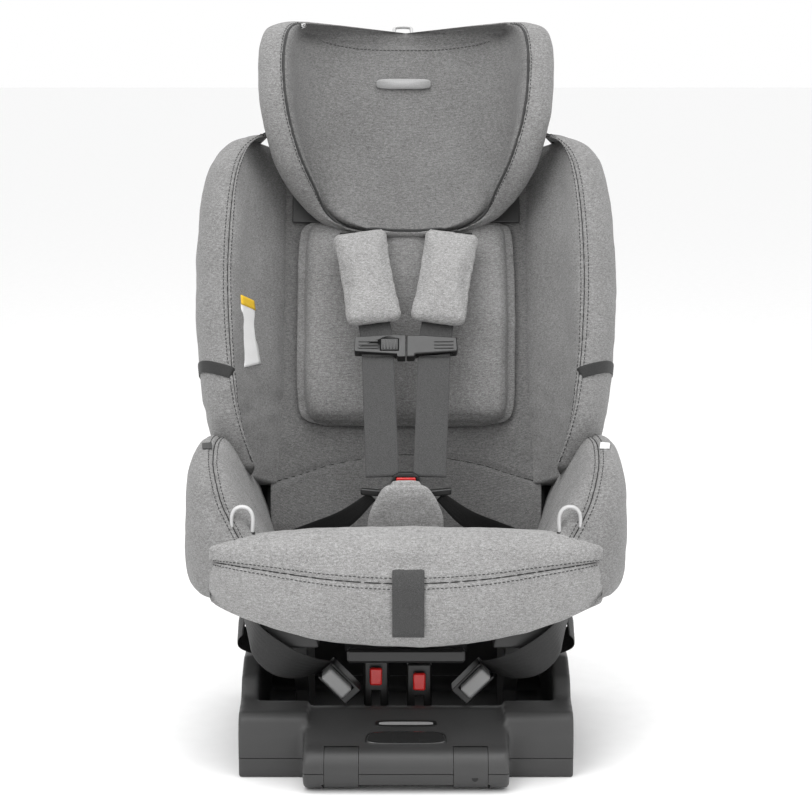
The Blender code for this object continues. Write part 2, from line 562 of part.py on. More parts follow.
def make_harness():
    x_axis = Vector((1, 0, 0))
    for sign, word in ((-1, "left"), (1, "right")):
        upper = [strap_point(sign, t) for t in (0.0, 0.15, 0.30, 0.45, 0.515)]
        straight_ribbon("shoulder_strap_" + word, upper, x_axis, STRAP_WIDTH, STRAP_THICK, "webbing")
        lower = [strap_point(sign, t) for t in (0.518, 0.68, 0.84, 1.0)]
        straight_ribbon("lower_strap_" + word, lower, x_axis, STRAP_WIDTH, STRAP_THICK, "webbing")
        axes = strap_axes(sign, 0.02, 0.38)
        low, high = (-0.0295, -0.1180, 0.0016), (0.0295, 0.0, 0.0170)
        placed_box("shoulder_pad_" + word, strap_point(sign, 0.02), axes, low, high, "fabric", 0.005)
        tongue = Vector((sign * 0.0290, -0.0720, 0.2940))
        axes = (Vector((sign * 1.0, 0, 0.10)).normalized(), Vector((0, 1, 0)), Vector((0, 0, 1)))
        low, high = (-0.0090, -0.0050, -0.0035), (0.0230, 0.0050, 0.0035)
        placed_box("buckle_tongue_" + word, tongue, axes, low, high, "black_plastic", 0.001)
        lap = [tongue + Vector((sign * 0.010, 0.004, -0.0050)), Vector((sign * 0.070, -0.050, 0.2600))]
        lap += [Vector((sign * 0.103, -0.022, 0.2390)), Vector((sign * 0.134, 0.000, 0.2225))]
        twist = [Vector((0, 0.6, 0.5)), Vector((sign * 0.3, 0.8, -0.3)), Vector((sign * 0.4, 1, 0.1))]
        twist += [Vector((sign * 0.3, 1, -0.2))]
        ribbon("lap_strap_" + word, lap, twist, [0.010, 0.016, 0.020, 0.020], STRAP_THICK, "black_webbing")
    t_clip = (STRAP_TOP[0] - CLIP_S) / (STRAP_TOP[0] - STRAP_END[0])
    middle = strap_point(0, t_clip)
    side_axes = (x_axis, (strap_point(0, 0) - strap_point(0, 1)).normalized(), strap_axes(0, 0, 1)[2])
    for sign, word in ((-1, "left"), (1, "right")):
        outline = [(0.0006, -0.0165), (0.0100, -0.0165), (0.0110, -0.0125), (0.0600, -0.0090), (0.0610, -0.0060)]
        outline += [(0.0600, 0.0105), (0.0200, 0.0135), (0.0006, 0.0135)]
        rings = []
        for lift in (-0.0050, 0.0068):
            level = middle + side_axes[2] * lift
            rings.append([level + side_axes[0] * sign * a + side_axes[1] * b for a, b in outline])
        half = loft("chest_clip_" + word, rings, "black_plastic", False)
        ends = sorted((sign * 0.0130, sign * 0.0555))
        low, high = (ends[0], -0.05, -0.0014), (ends[1], 0.05, 0.0014)
        cut(half, placed_box(helper("strap_way_" + word), middle, side_axes, low, high, "black_plastic"))
        if sign < 0:
            low, high = (-0.0305, -0.0085, 0.0028), (-0.0085, 0.0085, 0.02)
            cut(half, placed_box(helper("clip_well"), middle, side_axes, low, high, "black_plastic"))
            low, high = (-0.0300, -0.0080, 0.0046), (-0.0090, 0.0080, 0.0078)
            press = placed_box("chest_clip_button", middle, side_axes, low, high, "black_plastic", 0.0008)
            set_origin(press, middle)
    # Buckle: it stands on the crotch strap, with the release button at the top of its face.
    housing = box("buckle_housing", (-0.0275, -0.0862, 0.2510), (0.0275, -0.0640, 0.3000), "black_plastic", 0.003)
    top = [(-0.0165, 0.2900), (0.0165, 0.2900), (0.0165, 0.3100), (0.0130, 0.3165), (0.0080, 0.3195)]
    top += [(-0.0080, 0.3195), (-0.0130, 0.3165), (-0.0165, 0.3100)]
    crown = prism(helper("buckle_crown"), top, -0.0860, -0.0740, "black_plastic", "Y")
    join(housing, crown)
    for sign, word in ((-1, "left"), (1, "right")):
        ends = sorted((sign * 0.0195, sign * 0.0330))
        low, high = (ends[0], -0.0780, 0.2890), (ends[1], -0.0660, 0.3100)
        cut(housing, box(helper("tongue_way_" + word), low, high, "black_plastic"))
    cut(housing, box(helper("button_way"), (-0.0115, -0.1000, 0.2990), (0.0115, -0.0790, 0.3150), "black_plastic"))
    button = box("buckle_button", (-0.0110, -0.0870, 0.2995), (0.0110, -0.0835, 0.3145), "red_plastic", 0.0008)
    set_origin(button, (0, -0.0850, 0.3070))
    strap = [Vector((0, -0.0740, 0.2505)), Vector((0, -0.0730, 0.2450)), Vector((0, -0.0720, 0.2330))]
    straight_ribbon("crotch_strap", strap, x_axis, STRAP_WIDTH, 0.0030, "webbing")
    shape = [(0.0345, 0.2420), (0.0370, 0.2570), (0.0430, 0.2760), (0.0400, 0.2860)]
    shape += [(0.0250, 0.3010), (0.0120, 0.3065)]
    outline = shape + [(-x, z) for x, z in reversed(shape)]
    pad = prism("crotch_pad", outline, -0.1020, -0.0880, "fabric", "Y")
    rounded(pad, 0.003)
    # The strap that tightens the harness comes out of the front lip.
    fall = [(-0.2250, 0.2470), (-0.2415, 0.2430), (-0.2485, 0.2300), (-0.2500, 0.2100), (-0.2495, 0.1720)]
    hang = [Vector((0.0025, y, z)) for y, z in fall]
    straight_ribbon("adjuster_strap", hang, x_axis, 0.0345, STRAP_THICK, "webbing")
    box("adjuster_housing", (-0.0180, -0.2125, 0.2485), (0.0230, -0.2030, 0.2530), "steel")
    lever = box("adjuster_lever", (-0.0150, -0.2290, 0.2540), (0.0200, -0.2060, 0.2570), "black_plastic", 0.0008)
    set_origin(lever, (0.0025, -0.2065, 0.2550))


def make_controls():
    """The recline handle under the lip and the loops that hold the harness open."""
    handle = box("recline_handle", (-0.0650, -0.1980, 0.1280), (0.0650, -0.1840, 0.1440), "black_plastic", 0.003)
    stem = box(helper("handle_stem"), (-0.0150, -0.1900, 0.1300), (0.0150, -0.1500, 0.1400), "black_plastic")
    join(handle, stem)
    for sign, word in ((-1, "left"), (1, "right")):
        half = [(-0.0095, -0.016), (-0.0105, 0.004), (-0.0070, 0.0135)]
        loop = half + [(0.0, 0.0165)] + [(-x, z) for x, z in reversed(half)]
        points = [Vector((sign * (0.1780 + x * 0.92), -0.1650, 0.2870 + z)) for x, z in loop]
        tube("harness_holder_" + word, points, 0.0023, "pale_plastic")


def make_headrest():
    shell = box_on_back("headrest_shell", (-0.140, 0.405, 0.0030), (0.140, 0.640, 0.0080), "dark_plastic")
    join(shell, box_on_back(helper("bridge"), (-0.060, 0.598, -0.0400), (0.060, 0.612, 0.0060), "dark_plastic"))
    for sign, word in ((-1, "left"), (1, "right")):
        rod = [back(sign * 0.045, s, -0.0320) for s in (0.5975, 0.2500)]
        tube("headrest_rod_" + word, rod, 0.0045, "steel", 12)
    shape = [(0.0, 0.385), (0.050, 0.392), (0.090, 0.415), (0.114, 0.450)]
    shape += [(0.114, 0.640), (0.050, 0.624), (0.0, 0.620)]
    outline = shape + [(-x, s) for x, s in reversed(shape[1:-1])]
    rings = [[back(x, s, d) for x, s in outline] for d in (0.0086, 0.0360)]
    rounded(loft("headrest_pad", rings, "fabric", False), 0.006)
    stations = [
        (0.425, 0.1500, 0.072),
        (0.460, 0.1600, 0.095),
        (0.510, 0.1740, 0.110),
        (0.570, 0.1790, 0.113),
        (0.620, 0.1770, 0.106),
        (0.645, 0.1700, 0.088),
        (0.655, 0.1610, 0.066),
    ]
    for sign, word in ((-1, "left"), (1, "right")):
        rings = []
        for s, outer, reach in stations:
            ring = [(0.1145, 0.0086), (0.1410, 0.0086), (0.1440, 0.0120), (outer - 0.026, 0.0230)]
            ring += [(outer - 0.016, reach * 0.38), (outer, reach * 0.74), (outer - 0.003, reach * 0.93)]
            ring += [(outer - 0.013, reach), (outer - 0.034, reach * 0.97), (0.1290, reach * 0.60), (0.1150, 0.0360)]
            rings.append([back(sign * x, s, d) for x, d in ring])
        loft("headrest_wing_" + word, rings, "fabric")
    loop = []
    for x, s in ((0.0085, 0.6660), (0.0110, 0.6600), (0.0125, 0.6350)):
        loop = [back(-x - 0.004, s, -0.0050)] + loop + [back(x - 0.004, s, -0.0050)]
    tube("headrest_handle", loop, 0.0024, "pale_plastic")


def make_guides():
    """The guide on the back of the shell that the headrest's rods slide through, and the yoke."""
    block = box_on_back("rod_guide", (-0.062, 0.418, -0.0400), (0.062, 0.448, -0.0184), "black_plastic")
    for sign, word in ((-1, "left"), (1, "right")):
        rings = []
        for s in (0.40, 0.46):
            ring = arc((sign * 0.045, -0.0320), 0.0049, 0, 330, 11)
            rings.append([back(x, s, d) for x, d in ring])
        cut(block, loft(helper("rod_way_" + word), rings, "black_plastic"))
    box_on_back("harness_yoke", (-0.028, 0.170, -0.0230), (0.028, 0.205, -0.0200), "steel", 0.001)


def main():
    for old in list(bpy.data.objects):
        bpy.data.objects.remove(old)
    make_base()
    make_flip_foot()
    make_latch_storage()
    make_shell()
    clearance = tub(helper("tub_clearance"), GAP)
    make_bolsters(clearance)
    make_wings(clearance)
    make_pads()
    make_harness()
    make_controls()
    make_headrest()
    make_guides()
    for made in bpy.data.objects:
        made.location.y += FRAME_SHIFT


main()
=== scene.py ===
"""Looks of the convertible child car seat: covers, seams, webbing, moulded parts, light and camera.

Metres, +Z up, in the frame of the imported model. "Left" is the -X side.
"""

import json
import math

import bmesh
import bpy
from mathutils import Matrix, Vector, noise

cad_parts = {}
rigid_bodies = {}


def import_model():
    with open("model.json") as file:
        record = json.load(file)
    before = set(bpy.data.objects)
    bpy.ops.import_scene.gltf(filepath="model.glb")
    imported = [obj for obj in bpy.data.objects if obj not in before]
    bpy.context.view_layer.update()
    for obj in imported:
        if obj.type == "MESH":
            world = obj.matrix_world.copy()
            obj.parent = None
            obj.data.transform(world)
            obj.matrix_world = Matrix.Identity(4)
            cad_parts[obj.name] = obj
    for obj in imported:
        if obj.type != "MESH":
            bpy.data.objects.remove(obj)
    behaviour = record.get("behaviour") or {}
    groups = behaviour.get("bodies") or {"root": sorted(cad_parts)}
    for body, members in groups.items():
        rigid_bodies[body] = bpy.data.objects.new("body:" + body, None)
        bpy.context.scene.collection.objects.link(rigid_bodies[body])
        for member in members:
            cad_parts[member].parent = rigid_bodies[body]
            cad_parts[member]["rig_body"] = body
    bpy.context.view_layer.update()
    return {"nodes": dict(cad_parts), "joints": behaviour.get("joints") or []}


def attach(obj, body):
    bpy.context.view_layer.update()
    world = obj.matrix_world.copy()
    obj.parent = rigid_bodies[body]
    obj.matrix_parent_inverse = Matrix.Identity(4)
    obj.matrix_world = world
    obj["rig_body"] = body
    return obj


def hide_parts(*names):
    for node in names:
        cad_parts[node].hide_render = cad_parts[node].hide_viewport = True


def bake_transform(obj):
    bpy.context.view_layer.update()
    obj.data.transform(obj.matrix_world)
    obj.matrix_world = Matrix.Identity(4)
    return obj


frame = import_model()
NODES = frame["nodes"]
JOINTS = {joint["name"]: joint for joint in frame["joints"]}

# The seat's own axes, from the joints: the headrest slides along the back, which starts at the bight.
X_AXIS = Vector((1, 0, 0))
SLIDE = Vector(JOINTS["headrest_slide"]["axis"]).normalized()
RECLINE_AXIS = Vector(JOINTS["recline"]["pos_m"])
BIGHT = RECLINE_AXIS + Vector((0, 0.075, -0.265))  # where the seat surface meets the back
FORWARD = X_AXIS.cross(SLIDE)  # out of the back's surface
PAN_TILT = math.radians(14)
SHIFT = RECLINE_AXIS.y + 0.040  # the covers' stations are given before the model is centred
SIDES = ((-1, "left"), (1, "right"))


def back(x, s, d):
    """A point s up the back from the bight and d in front of its surface."""
    return Vector((x, BIGHT.y, BIGHT.z)) + SLIDE * s + FORWARD * d


def place(x, y, z):
    """A point given before the model was centred, in the frame's own place."""
    return Vector((x, y + SHIFT, z))


# Materials


class Finish:
    """A material under construction: its shader, and short calls that add and wire nodes."""

    def __init__(self, name, roughness, metallic=0.0, sheen=0.0, coat=0.0):
        self.material = bpy.data.materials.new(name)
        self.material.use_nodes = True
        self.tree = self.material.node_tree
        self.shader = self.tree.nodes["Principled BSDF"]
        self.shader.inputs["Roughness"].default_value = roughness
        self.shader.inputs["Metallic"].default_value = metallic
        self.shader.inputs["Sheen Weight"].default_value = sheen
        self.shader.inputs["Sheen Roughness"].default_value = 0.5
        self.shader.inputs["Coat Weight"].default_value = coat
        self.where = self.node("TexCoord").outputs["Object"]

    def node(self, kind, **values):
        made = self.tree.nodes.new("ShaderNode" + kind)
        for key, value in values.items():
            if key in made.inputs:
                made.inputs[key].default_value = value
            else:
                setattr(made, key, value)
        return made

    def link(self, source, target):
        self.tree.links.new(source, target)

    def noise(self, scale, detail=3.0, roughness=0.55, stretch=None):
        made = self.node("TexNoise", Scale=scale, Detail=detail, Roughness=roughness)
        self.link(self.stretched(stretch), made.inputs["Vector"])
        return made.outputs["Fac"]

    def stretched(self, stretch):
        if stretch is None:
            return self.where
        made = self.node("Mapping", Scale=stretch)
        self.link(self.where, made.inputs["Vector"])
        return made.outputs["Vector"]

    def waves(self, scale, direction, distortion=0.6):
        made = self.node("TexWave", Scale=scale, Distortion=distortion, bands_direction=direction)
        made.inputs["Detail Scale"].default_value = 6.0
        self.link(self.where, made.inputs["Vector"])
        return made.outputs["Fac"]

    def ramp(self, source, *stops):
        made = self.node("ValToRGB")
        ramp = made.color_ramp
        while len(ramp.elements) < len(stops):
            ramp.elements.new(0.5)
        for element, (position, colour) in zip(ramp.elements, stops):
            element.position = position
            element.color = (*colour, 1)
        self.link(source, made.inputs["Fac"])
        return made.outputs["Color"]

    def math(self, operation, a, b):
        made = self.node("Math", operation=operation)
        for source, socket in ((a, made.inputs[0]), (b, made.inputs[1])):
            if isinstance(source, (int, float)):
                socket.default_value = source
            else:
                self.link(source, socket)
        return made.outputs[0]

    def colour(self, source):
        self.link(source, self.shader.inputs["Base Color"])

    def bump(self, source, strength, distance):
        made = self.node("Bump", Strength=strength, Distance=distance)
        self.link(source, made.inputs["Height"])
        before = self.shader.inputs["Normal"].links
        if before:
            self.link(before[0].from_socket, made.inputs["Normal"])
        self.link(made.outputs["Normal"], self.shader.inputs["Normal"])


def grey(level, warmth=0.0):
    return (level * (1 + warmth), level, level * (1 - warmth))


def woven(name, dark, light, sheen=0.25):
    """Melange cloth: single pale and dark yarns in a fine plain weave."""
    made = Finish(name, 0.95, sheen=sheen)
    yarn = made.noise(900, 2.0, 0.6)
    slub = made.noise(260, 3.0, 0.6, (1.0, 1.0, 2.6))
    cloud = made.noise(14, 2.0)
    mixed = made.math("ADD", made.math("MULTIPLY", yarn, 0.5), made.math("MULTIPLY", slub, 0.42))
    mixed = made.math("ADD", mixed, made.math("MULTIPLY", cloud, 0.10))
    middle = (0.52, grey((dark + light) / 2, 0.01))
    made.colour(made.ramp(mixed, (0.36, grey(dark, 0.01)), middle, (0.66, grey(light))))
    weave = made.math("ADD", made.waves(230, "X"), made.math("ADD", made.waves(230, "Z"), made.waves(230, "Y")))
    made.bump(weave, 0.35, 0.0006)
    made.bump(slub, 0.25, 0.0010)
    return made.material


def ribbed(name, dark, light, roughness=0.75, sheen=0.05):
    """Polyester webbing: its ribs are in the mesh, and the yarns that cross them are here."""
    made = Finish(name, roughness, sheen=sheen)
    yarn = made.noise(1100, 2.0, 0.6, (1.0, 1.0, 1.6))
    made.colour(made.ramp(yarn, (0.38, grey(dark)), (0.64, grey(light))))
    made.bump(made.waves(300, "Z", 0.3), 0.5, 0.0004)
    made.bump(yarn, 0.3, 0.0004)
    return made.material


def moulded(name, level, roughness, grain=0.25):
    """Moulded plastic with a spark-eroded grain and slight differences in gloss."""
    made = Finish(name, roughness)
    cloud = made.noise(9, 3.0)
    made.colour(made.ramp(cloud, (0.35, grey(level * 0.9)), (0.68, grey(level * 1.12))))
    made.bump(made.noise(1500, 2.0), grain, 0.0003)
    gloss = made.node("MapRange")
    gloss.inputs["To Min"].default_value = roughness - 0.05
    gloss.inputs["To Max"].default_value = roughness + 0.07
    made.link(made.noise(40, 3.0), gloss.inputs["Value"])
    made.link(gloss.outputs["Result"], made.shader.inputs["Roughness"])
    return made.material


def tinted(name, dark, light, roughness, metallic=0.0, coat=0.0, scale=900):
    """A plain finish that varies a little between two colours, with a fine grain."""
    made = Finish(name, roughness, metallic, coat=coat)
    made.colour(made.ramp(made.noise(scale, 2.0), (0.3, dark), (0.7, light)))
    made.bump(made.noise(scale, 2.0), 0.1, 0.0002)
    return made.material


FABRIC = woven("cover_fabric", 0.100, 0.300, 0.12)
# inner_fabric_painted_shade is the cover cloth darkened as painted shade, for the inner panels of the back, the
# seat and the headrest.
FABRIC_PAINTED_SHADE = woven("inner_fabric_painted_shade", 0.072, 0.210, 0.08)
# fabric_painted_light is the cover cloth lightened as painted light, for the lip and the pads that face the
# lamps above.
FABRIC_PAINTED_LIGHT = woven("fabric_painted_light", 0.140, 0.390, 0.12)
PIPING = ribbed("piping_cord", 0.015, 0.045, 0.8)
THREAD = tinted("dark_thread", grey(0.012), grey(0.030), 0.8)
# seam_shadow is a near-black finish for painted shadow: cords in the seam grooves, blocks in the strap slots, a
# disc in the knuckle's hole.
PAINTED_SHADOW = tinted("seam_shadow", grey(0.010), grey(0.022), 0.9)
WEBBING = ribbed("harness_webbing", 0.022, 0.062)
WEBBING_BLACK = ribbed("anchor_webbing", 0.004, 0.015, 0.55, 0.0)
ELASTIC = ribbed("black_elastic", 0.006, 0.020, 0.7)
SHELL_PLASTIC = moulded("shell_plastic", 0.020, 0.42)
BASE_PLASTIC = moulded("base_plastic", 0.036, 0.46)
BLACK_PLASTIC = moulded("black_plastic_parts", 0.010, 0.34)
GREY_PLASTIC = moulded("grey_plastic_parts", 0.21, 0.42)
PALE_PLASTIC = moulded("pale_plastic_parts", 0.52, 0.36, 0.08)
RUBBER = moulded("foot_rubber", 0.018, 0.85, 0.5)
RED_PLASTIC = tinted("red_plastic_parts", (0.52, 0.010, 0.010), (0.66, 0.016, 0.014), 0.34, coat=0.3)
STEEL = tinted("brushed_steel", grey(0.42), grey(0.60), 0.32, 1.0, scale=500)
PAPER = tinted("label_paper", grey(0.74), grey(0.80), 0.7)
YELLOW = tinted("label_yellow", (0.72, 0.45, 0.02), (0.80, 0.52, 0.03), 0.7)
INK = tinted("label_ink", grey(0.03), grey(0.06), 0.7)
PLATE = tinted("nameplate_film", grey(0.018), grey(0.026), 0.12, coat=0.8)
PATCH = tinted("printed_patch", grey(0.24), grey(0.30), 0.6)


# Meshes


def add_object(name, mesh, material):
    made = bpy.data.objects.new(name, mesh)
    bpy.context.scene.collection.objects.link(made)
    if material is not None:
        mesh.materials.append(material)
    return made


def from_faces(name, points, faces, material, smooth=True):
    mesh = bpy.data.meshes.new(name)
    mesh.from_pydata([tuple(p) for p in points], [], faces)
    tidy = bmesh.new()
    tidy.from_mesh(mesh)
    bmesh.ops.recalc_face_normals(tidy, faces=tidy.faces)
    if tidy.calc_volume(signed=True) < 0:
        bmesh.ops.reverse_faces(tidy, faces=tidy.faces)
    tidy.to_mesh(mesh)
    tidy.free()
    if smooth:
        mesh.shade_smooth()
    return add_object(name, mesh, material)


def ring_faces(rings, count, start=0):
    """Quads that join rings of count points each, one after another."""
    faces = []
    for i in range(rings - 1):
        low = start + i * count
        for k in range(count):
            n = (k + 1) % count
            faces.append((low + k, low + n, low + count + n, low + count + k))
    return faces


def finish_piece(made, body, replaces=()):
    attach(made, body)
    if replaces:
        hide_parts(*replaces)
    return made


def weights(f, soft):
    """The four weights of a cubic curve at f: soft 0 runs through its points, soft 1 rounds them off."""
    through = (
        (-f + 2 * f**2 - f**3) / 2,
        (2 - 5 * f**2 + 3 * f**3) / 2,
        (f + 4 * f**2 - 3 * f**3) / 2,
        (f**3 - f**2) / 2,
    )
    rounded = ((1 - f) ** 3 / 6, (3 * f**3 - 6 * f**2 + 4) / 6, (1 + 3 * f + 3 * f**2 - 3 * f**3) / 6, f**3 / 6)
    return [a * (1 - soft) + b * soft for a, b in zip(through, rounded)]


def curve_point(points, t, soft=0.0, closed=False):
    """The point at t (in steps between points) of a smooth line through or near points."""
    count = len(points)
    i = int(math.floor(t)) if closed else min(int(math.floor(t)), count - 2)
    if closed:
        four = [points[(i + k) % count] for k in (-1, 0, 1, 2)]
    else:
        first = points[0] * 2 - points[1] if i == 0 else points[i - 1]
        last = points[-1] * 2 - points[-2] if i + 2 >= count else points[i + 2]
        four = [first, points[i], points[i + 1], last]
    share = weights(t - i, soft)
    total = four[0] * share[0]
    for point, part in zip(four[1:], share[1:]):
        total = total + point * part
    return total


def smooth_line(points, step):
    """Evenly many points of a smooth open line, about step apart."""
    rough = [curve_point(points, (len(points) - 1) * i / 200) for i in range(201)]
    length = sum((b - a).length for a, b in zip(rough, rough[1:]))
    count = max(2, round(length / step))
    line, run, k = [rough[0]], 0.0, 1
    for i in range(1, count):
        wanted = length * i / count
        while run + (rough[k] - rough[k - 1]).length < wanted:
            run += (rough[k] - rough[k - 1]).length
            k += 1
        edge = rough[k] - rough[k - 1]
        line.append(rough[k - 1] + edge * ((wanted - run) / max(edge.length, 1e-9)))
    return line + [rough[-1]]


class Skin:
    """A smooth closed surface through rings of points; t runs over the rings and v round a ring."""

    # How the ends close: each cap ring's size, and how far it stands out.
    CAPS = ((0.985, 0.0012), (0.90, 0.0034), (0.55, 0.0045))

    def __init__(self, rings, soft=0.25, relief=None):
        self.rings = rings
        self.soft = soft
        self.relief = relief
        self.count = len(rings[0])
        self.outward = 1

    def bare(self, t, v):
        across = [curve_point(ring, v % self.count, self.soft, True) for ring in self.near(t)]
        i = min(int(t), len(self.rings) - 2)
        share = weights(t - i, self.soft)
        total = across[0] * share[0]
        for point, part in zip(across[1:], share[1:]):
            total = total + point * part
        return total

    def near(self, t):
        i = min(int(t), len(self.rings) - 2)
        last = len(self.rings) - 1
        four = [self.rings[max(0, min(last, i + k))] for k in (-1, 0, 1, 2)]
        if i == 0:
            four[0] = [a * 2 - b for a, b in zip(self.rings[0], self.rings[1])]
        if i + 2 > last:
            four[3] = [a * 2 - b for a, b in zip(self.rings[last], self.rings[last - 1])]
        return four

    def normal(self, t, v):
        last = len(self.rings) - 1
        low, high = max(0.0, t - 0.02), min(float(last), t + 0.02)
        along = self.bare(high, v) - self.bare(low, v)
        around = self.bare(t, v + 0.02) - self.bare(t, v - 0.02)
        found = along.cross(around)
        if found.length < 1e-12:
            return Vector((0, 0, 1))
        return found.normalized() * self.outward

    def orient(self):
        """Finds which way the surface's normals point."""
        t, total = (len(self.rings) - 1) / 2, 0.0
        ring = self.near(t)[1]
        middle = sum(ring, Vector()) / len(ring)
        for k in range(self.count * 2):
            total += self.normal(t, k / 2).dot(self.bare(t, k / 2) - middle)
        self.outward = 1 if total > 0 else -1
        return self

    def at(self, t, v, lift=0.0):
        point, out = self.bare(t, v), self.normal(t, v)
        if self.relief:
            lift += self.relief(point, t, v % self.count)
        return point + out * lift

    def mesh(self, name, material, rows, columns):
        """The surface as a mesh, closed with rounded ends."""
        last = len(self.rings) - 1
        grid = []
        for i in range(rows + 1):
            t = last * i / rows
            grid.append([self.at(t, self.count * j / columns) for j in range(columns)])
        for end in (0, -1):
            ring = grid[end]
            middle = sum(ring, Vector()) / len(ring)
            inside = grid[1 if end == 0 else -2]
            outward = (middle - sum(inside, Vector()) / len(inside)).normalized()
            extra = [[middle + (p - middle) * size + outward * push for p in ring] for size, push in self.CAPS]
            grid = extra[::-1] + grid if end == 0 else grid + extra
        points = [p for ring in grid for p in ring]
        faces = ring_faces(len(grid), columns)
        for start in (0, (len(grid) - 1) * columns):
            points.append(sum((points[start + j] for j in range(columns)), Vector()) / columns)
            faces += [(start + j, start + (j + 1) % columns, len(points) - 1) for j in range(columns)]
        return from_faces(name, points, faces, material)

    def line(self, stops, step=0.004, lift=0.0):
        """A line over the surface through (t, v) stops."""
        path = [Vector((t, v, 0)) for t, v in stops]
        rough = [curve_point(path, (len(path) - 1) * i / 120) for i in range(121)]
        return smooth_line([self.at(min(max(p.x, 0), len(self.rings) - 1), p.y, lift) for p in rough], step)

    def normals_along(self, stops, count):
        path = [Vector((t, v, 0)) for t, v in stops]
        rough = [curve_point(path, (len(path) - 1) * i / (count - 1)) for i in range(count)]
        return [self.normal(min(max(p.x, 0), len(self.rings) - 1), p.y) for p in rough]


def cord_mesh(name, path, radius, material, sides=8, flat=1.0, out=None):
    """A round or flattened bar along points, with closed ends."""
    points, count = [], len(path)
    up = Vector((0, 0, 1)) if out is None else None
    for i, point in enumerate(path):
        ahead = (path[min(i + 1, count - 1)] - path[max(i - 1, 0)]).normalized()
        lift = up if out is None else out[i]
        side = ahead.cross(lift)
        if side.length < 1e-6:
            side = ahead.cross(X_AXIS)
        side.normalize()
        lift = side.cross(ahead).normalized()
        for k in range(sides):
            angle = 2 * math.pi * k / sides
            points.append(point + side * (radius * math.cos(angle)) + lift * (radius * flat * math.sin(angle)))
    faces = [tuple(range(sides)), tuple(range(len(points) - sides, len(points)))] + ring_faces(count, sides)
    return from_faces(name, points, faces, material)


def stitches(name, rows, material, body):
    """Rows of thread stitches; each row is a skin, (t, v) stops, and a distance above the skin."""
    step, length, pitch, radius = 0.0008, 0.0030, 0.0048, 0.00050
    points, faces = [], []
    for skin, stops, lift in rows:
        dense = skin.line(stops, step, lift)
        stride, reach = round(pitch / step), round(length / step)
        for start in range(0, len(dense) - reach, stride):
            a, b = dense[start], dense[start + reach]
            ahead = (b - a).normalized()
            side = ahead.cross(Vector((0.3, -0.8, 0.5))).normalized()
            lift_dir = side.cross(ahead)
            base = len(points)
            for share, size in ((0.0, 0.35), (0.2, 1.0), (0.8, 1.0), (1.0, 0.35)):
                centre = a.lerp(b, share)
                for k in range(6):
                    angle = math.pi * k / 3
                    spoke = side * math.cos(angle) + lift_dir * math.sin(angle)
                    points.append(centre + spoke * radius * size)
            faces += [tuple(base + k for k in range(6)), tuple(base + 18 + k for k in range(6))]
            faces += ring_faces(4, 6, base)
    return finish_piece(from_faces(name, points, faces, material), body)


def piping(name, skin, stops, radius, body, material=PIPING, lift=0.0006):
    path = skin.line(stops, 0.003, lift)
    return finish_piece(cord_mesh(name, path, radius, material), body)


def strip(name, skin, stops, width, thick, material, body, ribs=0):
    """A flat band laid over a skin along (t, v) stops."""
    path = skin.line(stops, 0.003, thick * 0.7)
    out = skin.normals_along(stops, len(path))
    across = []
    for i in range(len(path)):
        ahead = (path[min(i + 1, len(path) - 1)] - path[max(i - 1, 0)]).normalized()
        across.append(out[i].cross(ahead).normalized())
    made = band_mesh(name, path, across, [width] * len(path), thick, material, ribs)
    return finish_piece(made, body)


def band_mesh(name, path, across, widths, thick, material, ribs=7):
    """Flat webbing with rounded edges and lengthwise ribs on both faces."""
    columns = max(6, ribs * 4)
    points = []
    for i, point in enumerate(path):
        ahead = (path[min(i + 1, len(path) - 1)] - path[max(i - 1, 0)]).normalized()
        side = (across[i] - ahead * across[i].dot(ahead)).normalized()
        up = ahead.cross(side).normalized()
        ring = []
        for face in (1, -1):
            for k in range(columns + 1):
                f = k / columns * 2 - 1
                edge = math.sqrt(max(0.0, 1 - abs(f) ** 10))
                rib = 0.80 + 0.20 * abs(math.cos(math.pi * ribs * (f + 1) / 2)) ** 0.7 if ribs else 1.0
                height = thick / 2 * max(0.25, edge) * rib
                ring.append(point + side * (f * face * widths[i] / 2) + up * (height * face))
        points += ring
    size = 2 * (columns + 1)
    faces = [tuple(range(size)), tuple(range(len(points) - size, len(points)))] + ring_faces(len(path), size)
    return from_faces(name, points, faces, material)


def webbing(name, stops, across, widths, thick, material, ribs=7, step=0.004):
    """Webbing along a smooth line through stops; across and widths hold a value for each stop."""
    dense = [curve_point(stops, (len(stops) - 1) * i / 200) for i in range(201)]
    length = sum((b - a).length for a, b in zip(dense, dense[1:]))
    count = max(8, round(length / step))
    path, sides, wide = [], [], []
    for i in range(count + 1):
        t = (len(stops) - 1) * i / count
        path.append(curve_point(stops, t))
        sides.append(curve_point([Vector(a) for a in across], t))
        wide.append(curve_point([Vector((w, 0, 0)) for w in widths], t).x)
    return band_mesh(name, path, sides, wide, thick, material, ribs)


def refined(node, width, material, segments=3):
    """A copy of a CAD node with its edges rounded, which stands for that node."""
    mesh = NODES[node].data.copy()
    mesh.name = node + "_detail"
    mesh.materials.clear()
    tidy = bmesh.new()
    tidy.from_mesh(mesh)
    bmesh.ops.remove_doubles(tidy, verts=tidy.verts, dist=0.00002)
    bmesh.ops.dissolve_limit(tidy, angle_limit=math.radians(0.6), verts=tidy.verts, edges=tidy.edges)
    tidy.to_mesh(mesh)
    tidy.free()
    made = add_object(node + "_detail", mesh, material)
    bevel = made.modifiers.new("Rounded edges", "BEVEL")
    bevel.width = width
    bevel.segments = segments
    bevel.limit_method = "ANGLE"
    bevel.angle_limit = math.radians(28)
    bevel.harden_normals = False
    mesh.shade_smooth()
    mesh.set_sharp_from_angle(angle=math.radians(35))
    body = NODES[node]["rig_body"]
    return finish_piece(made, body, (node,))


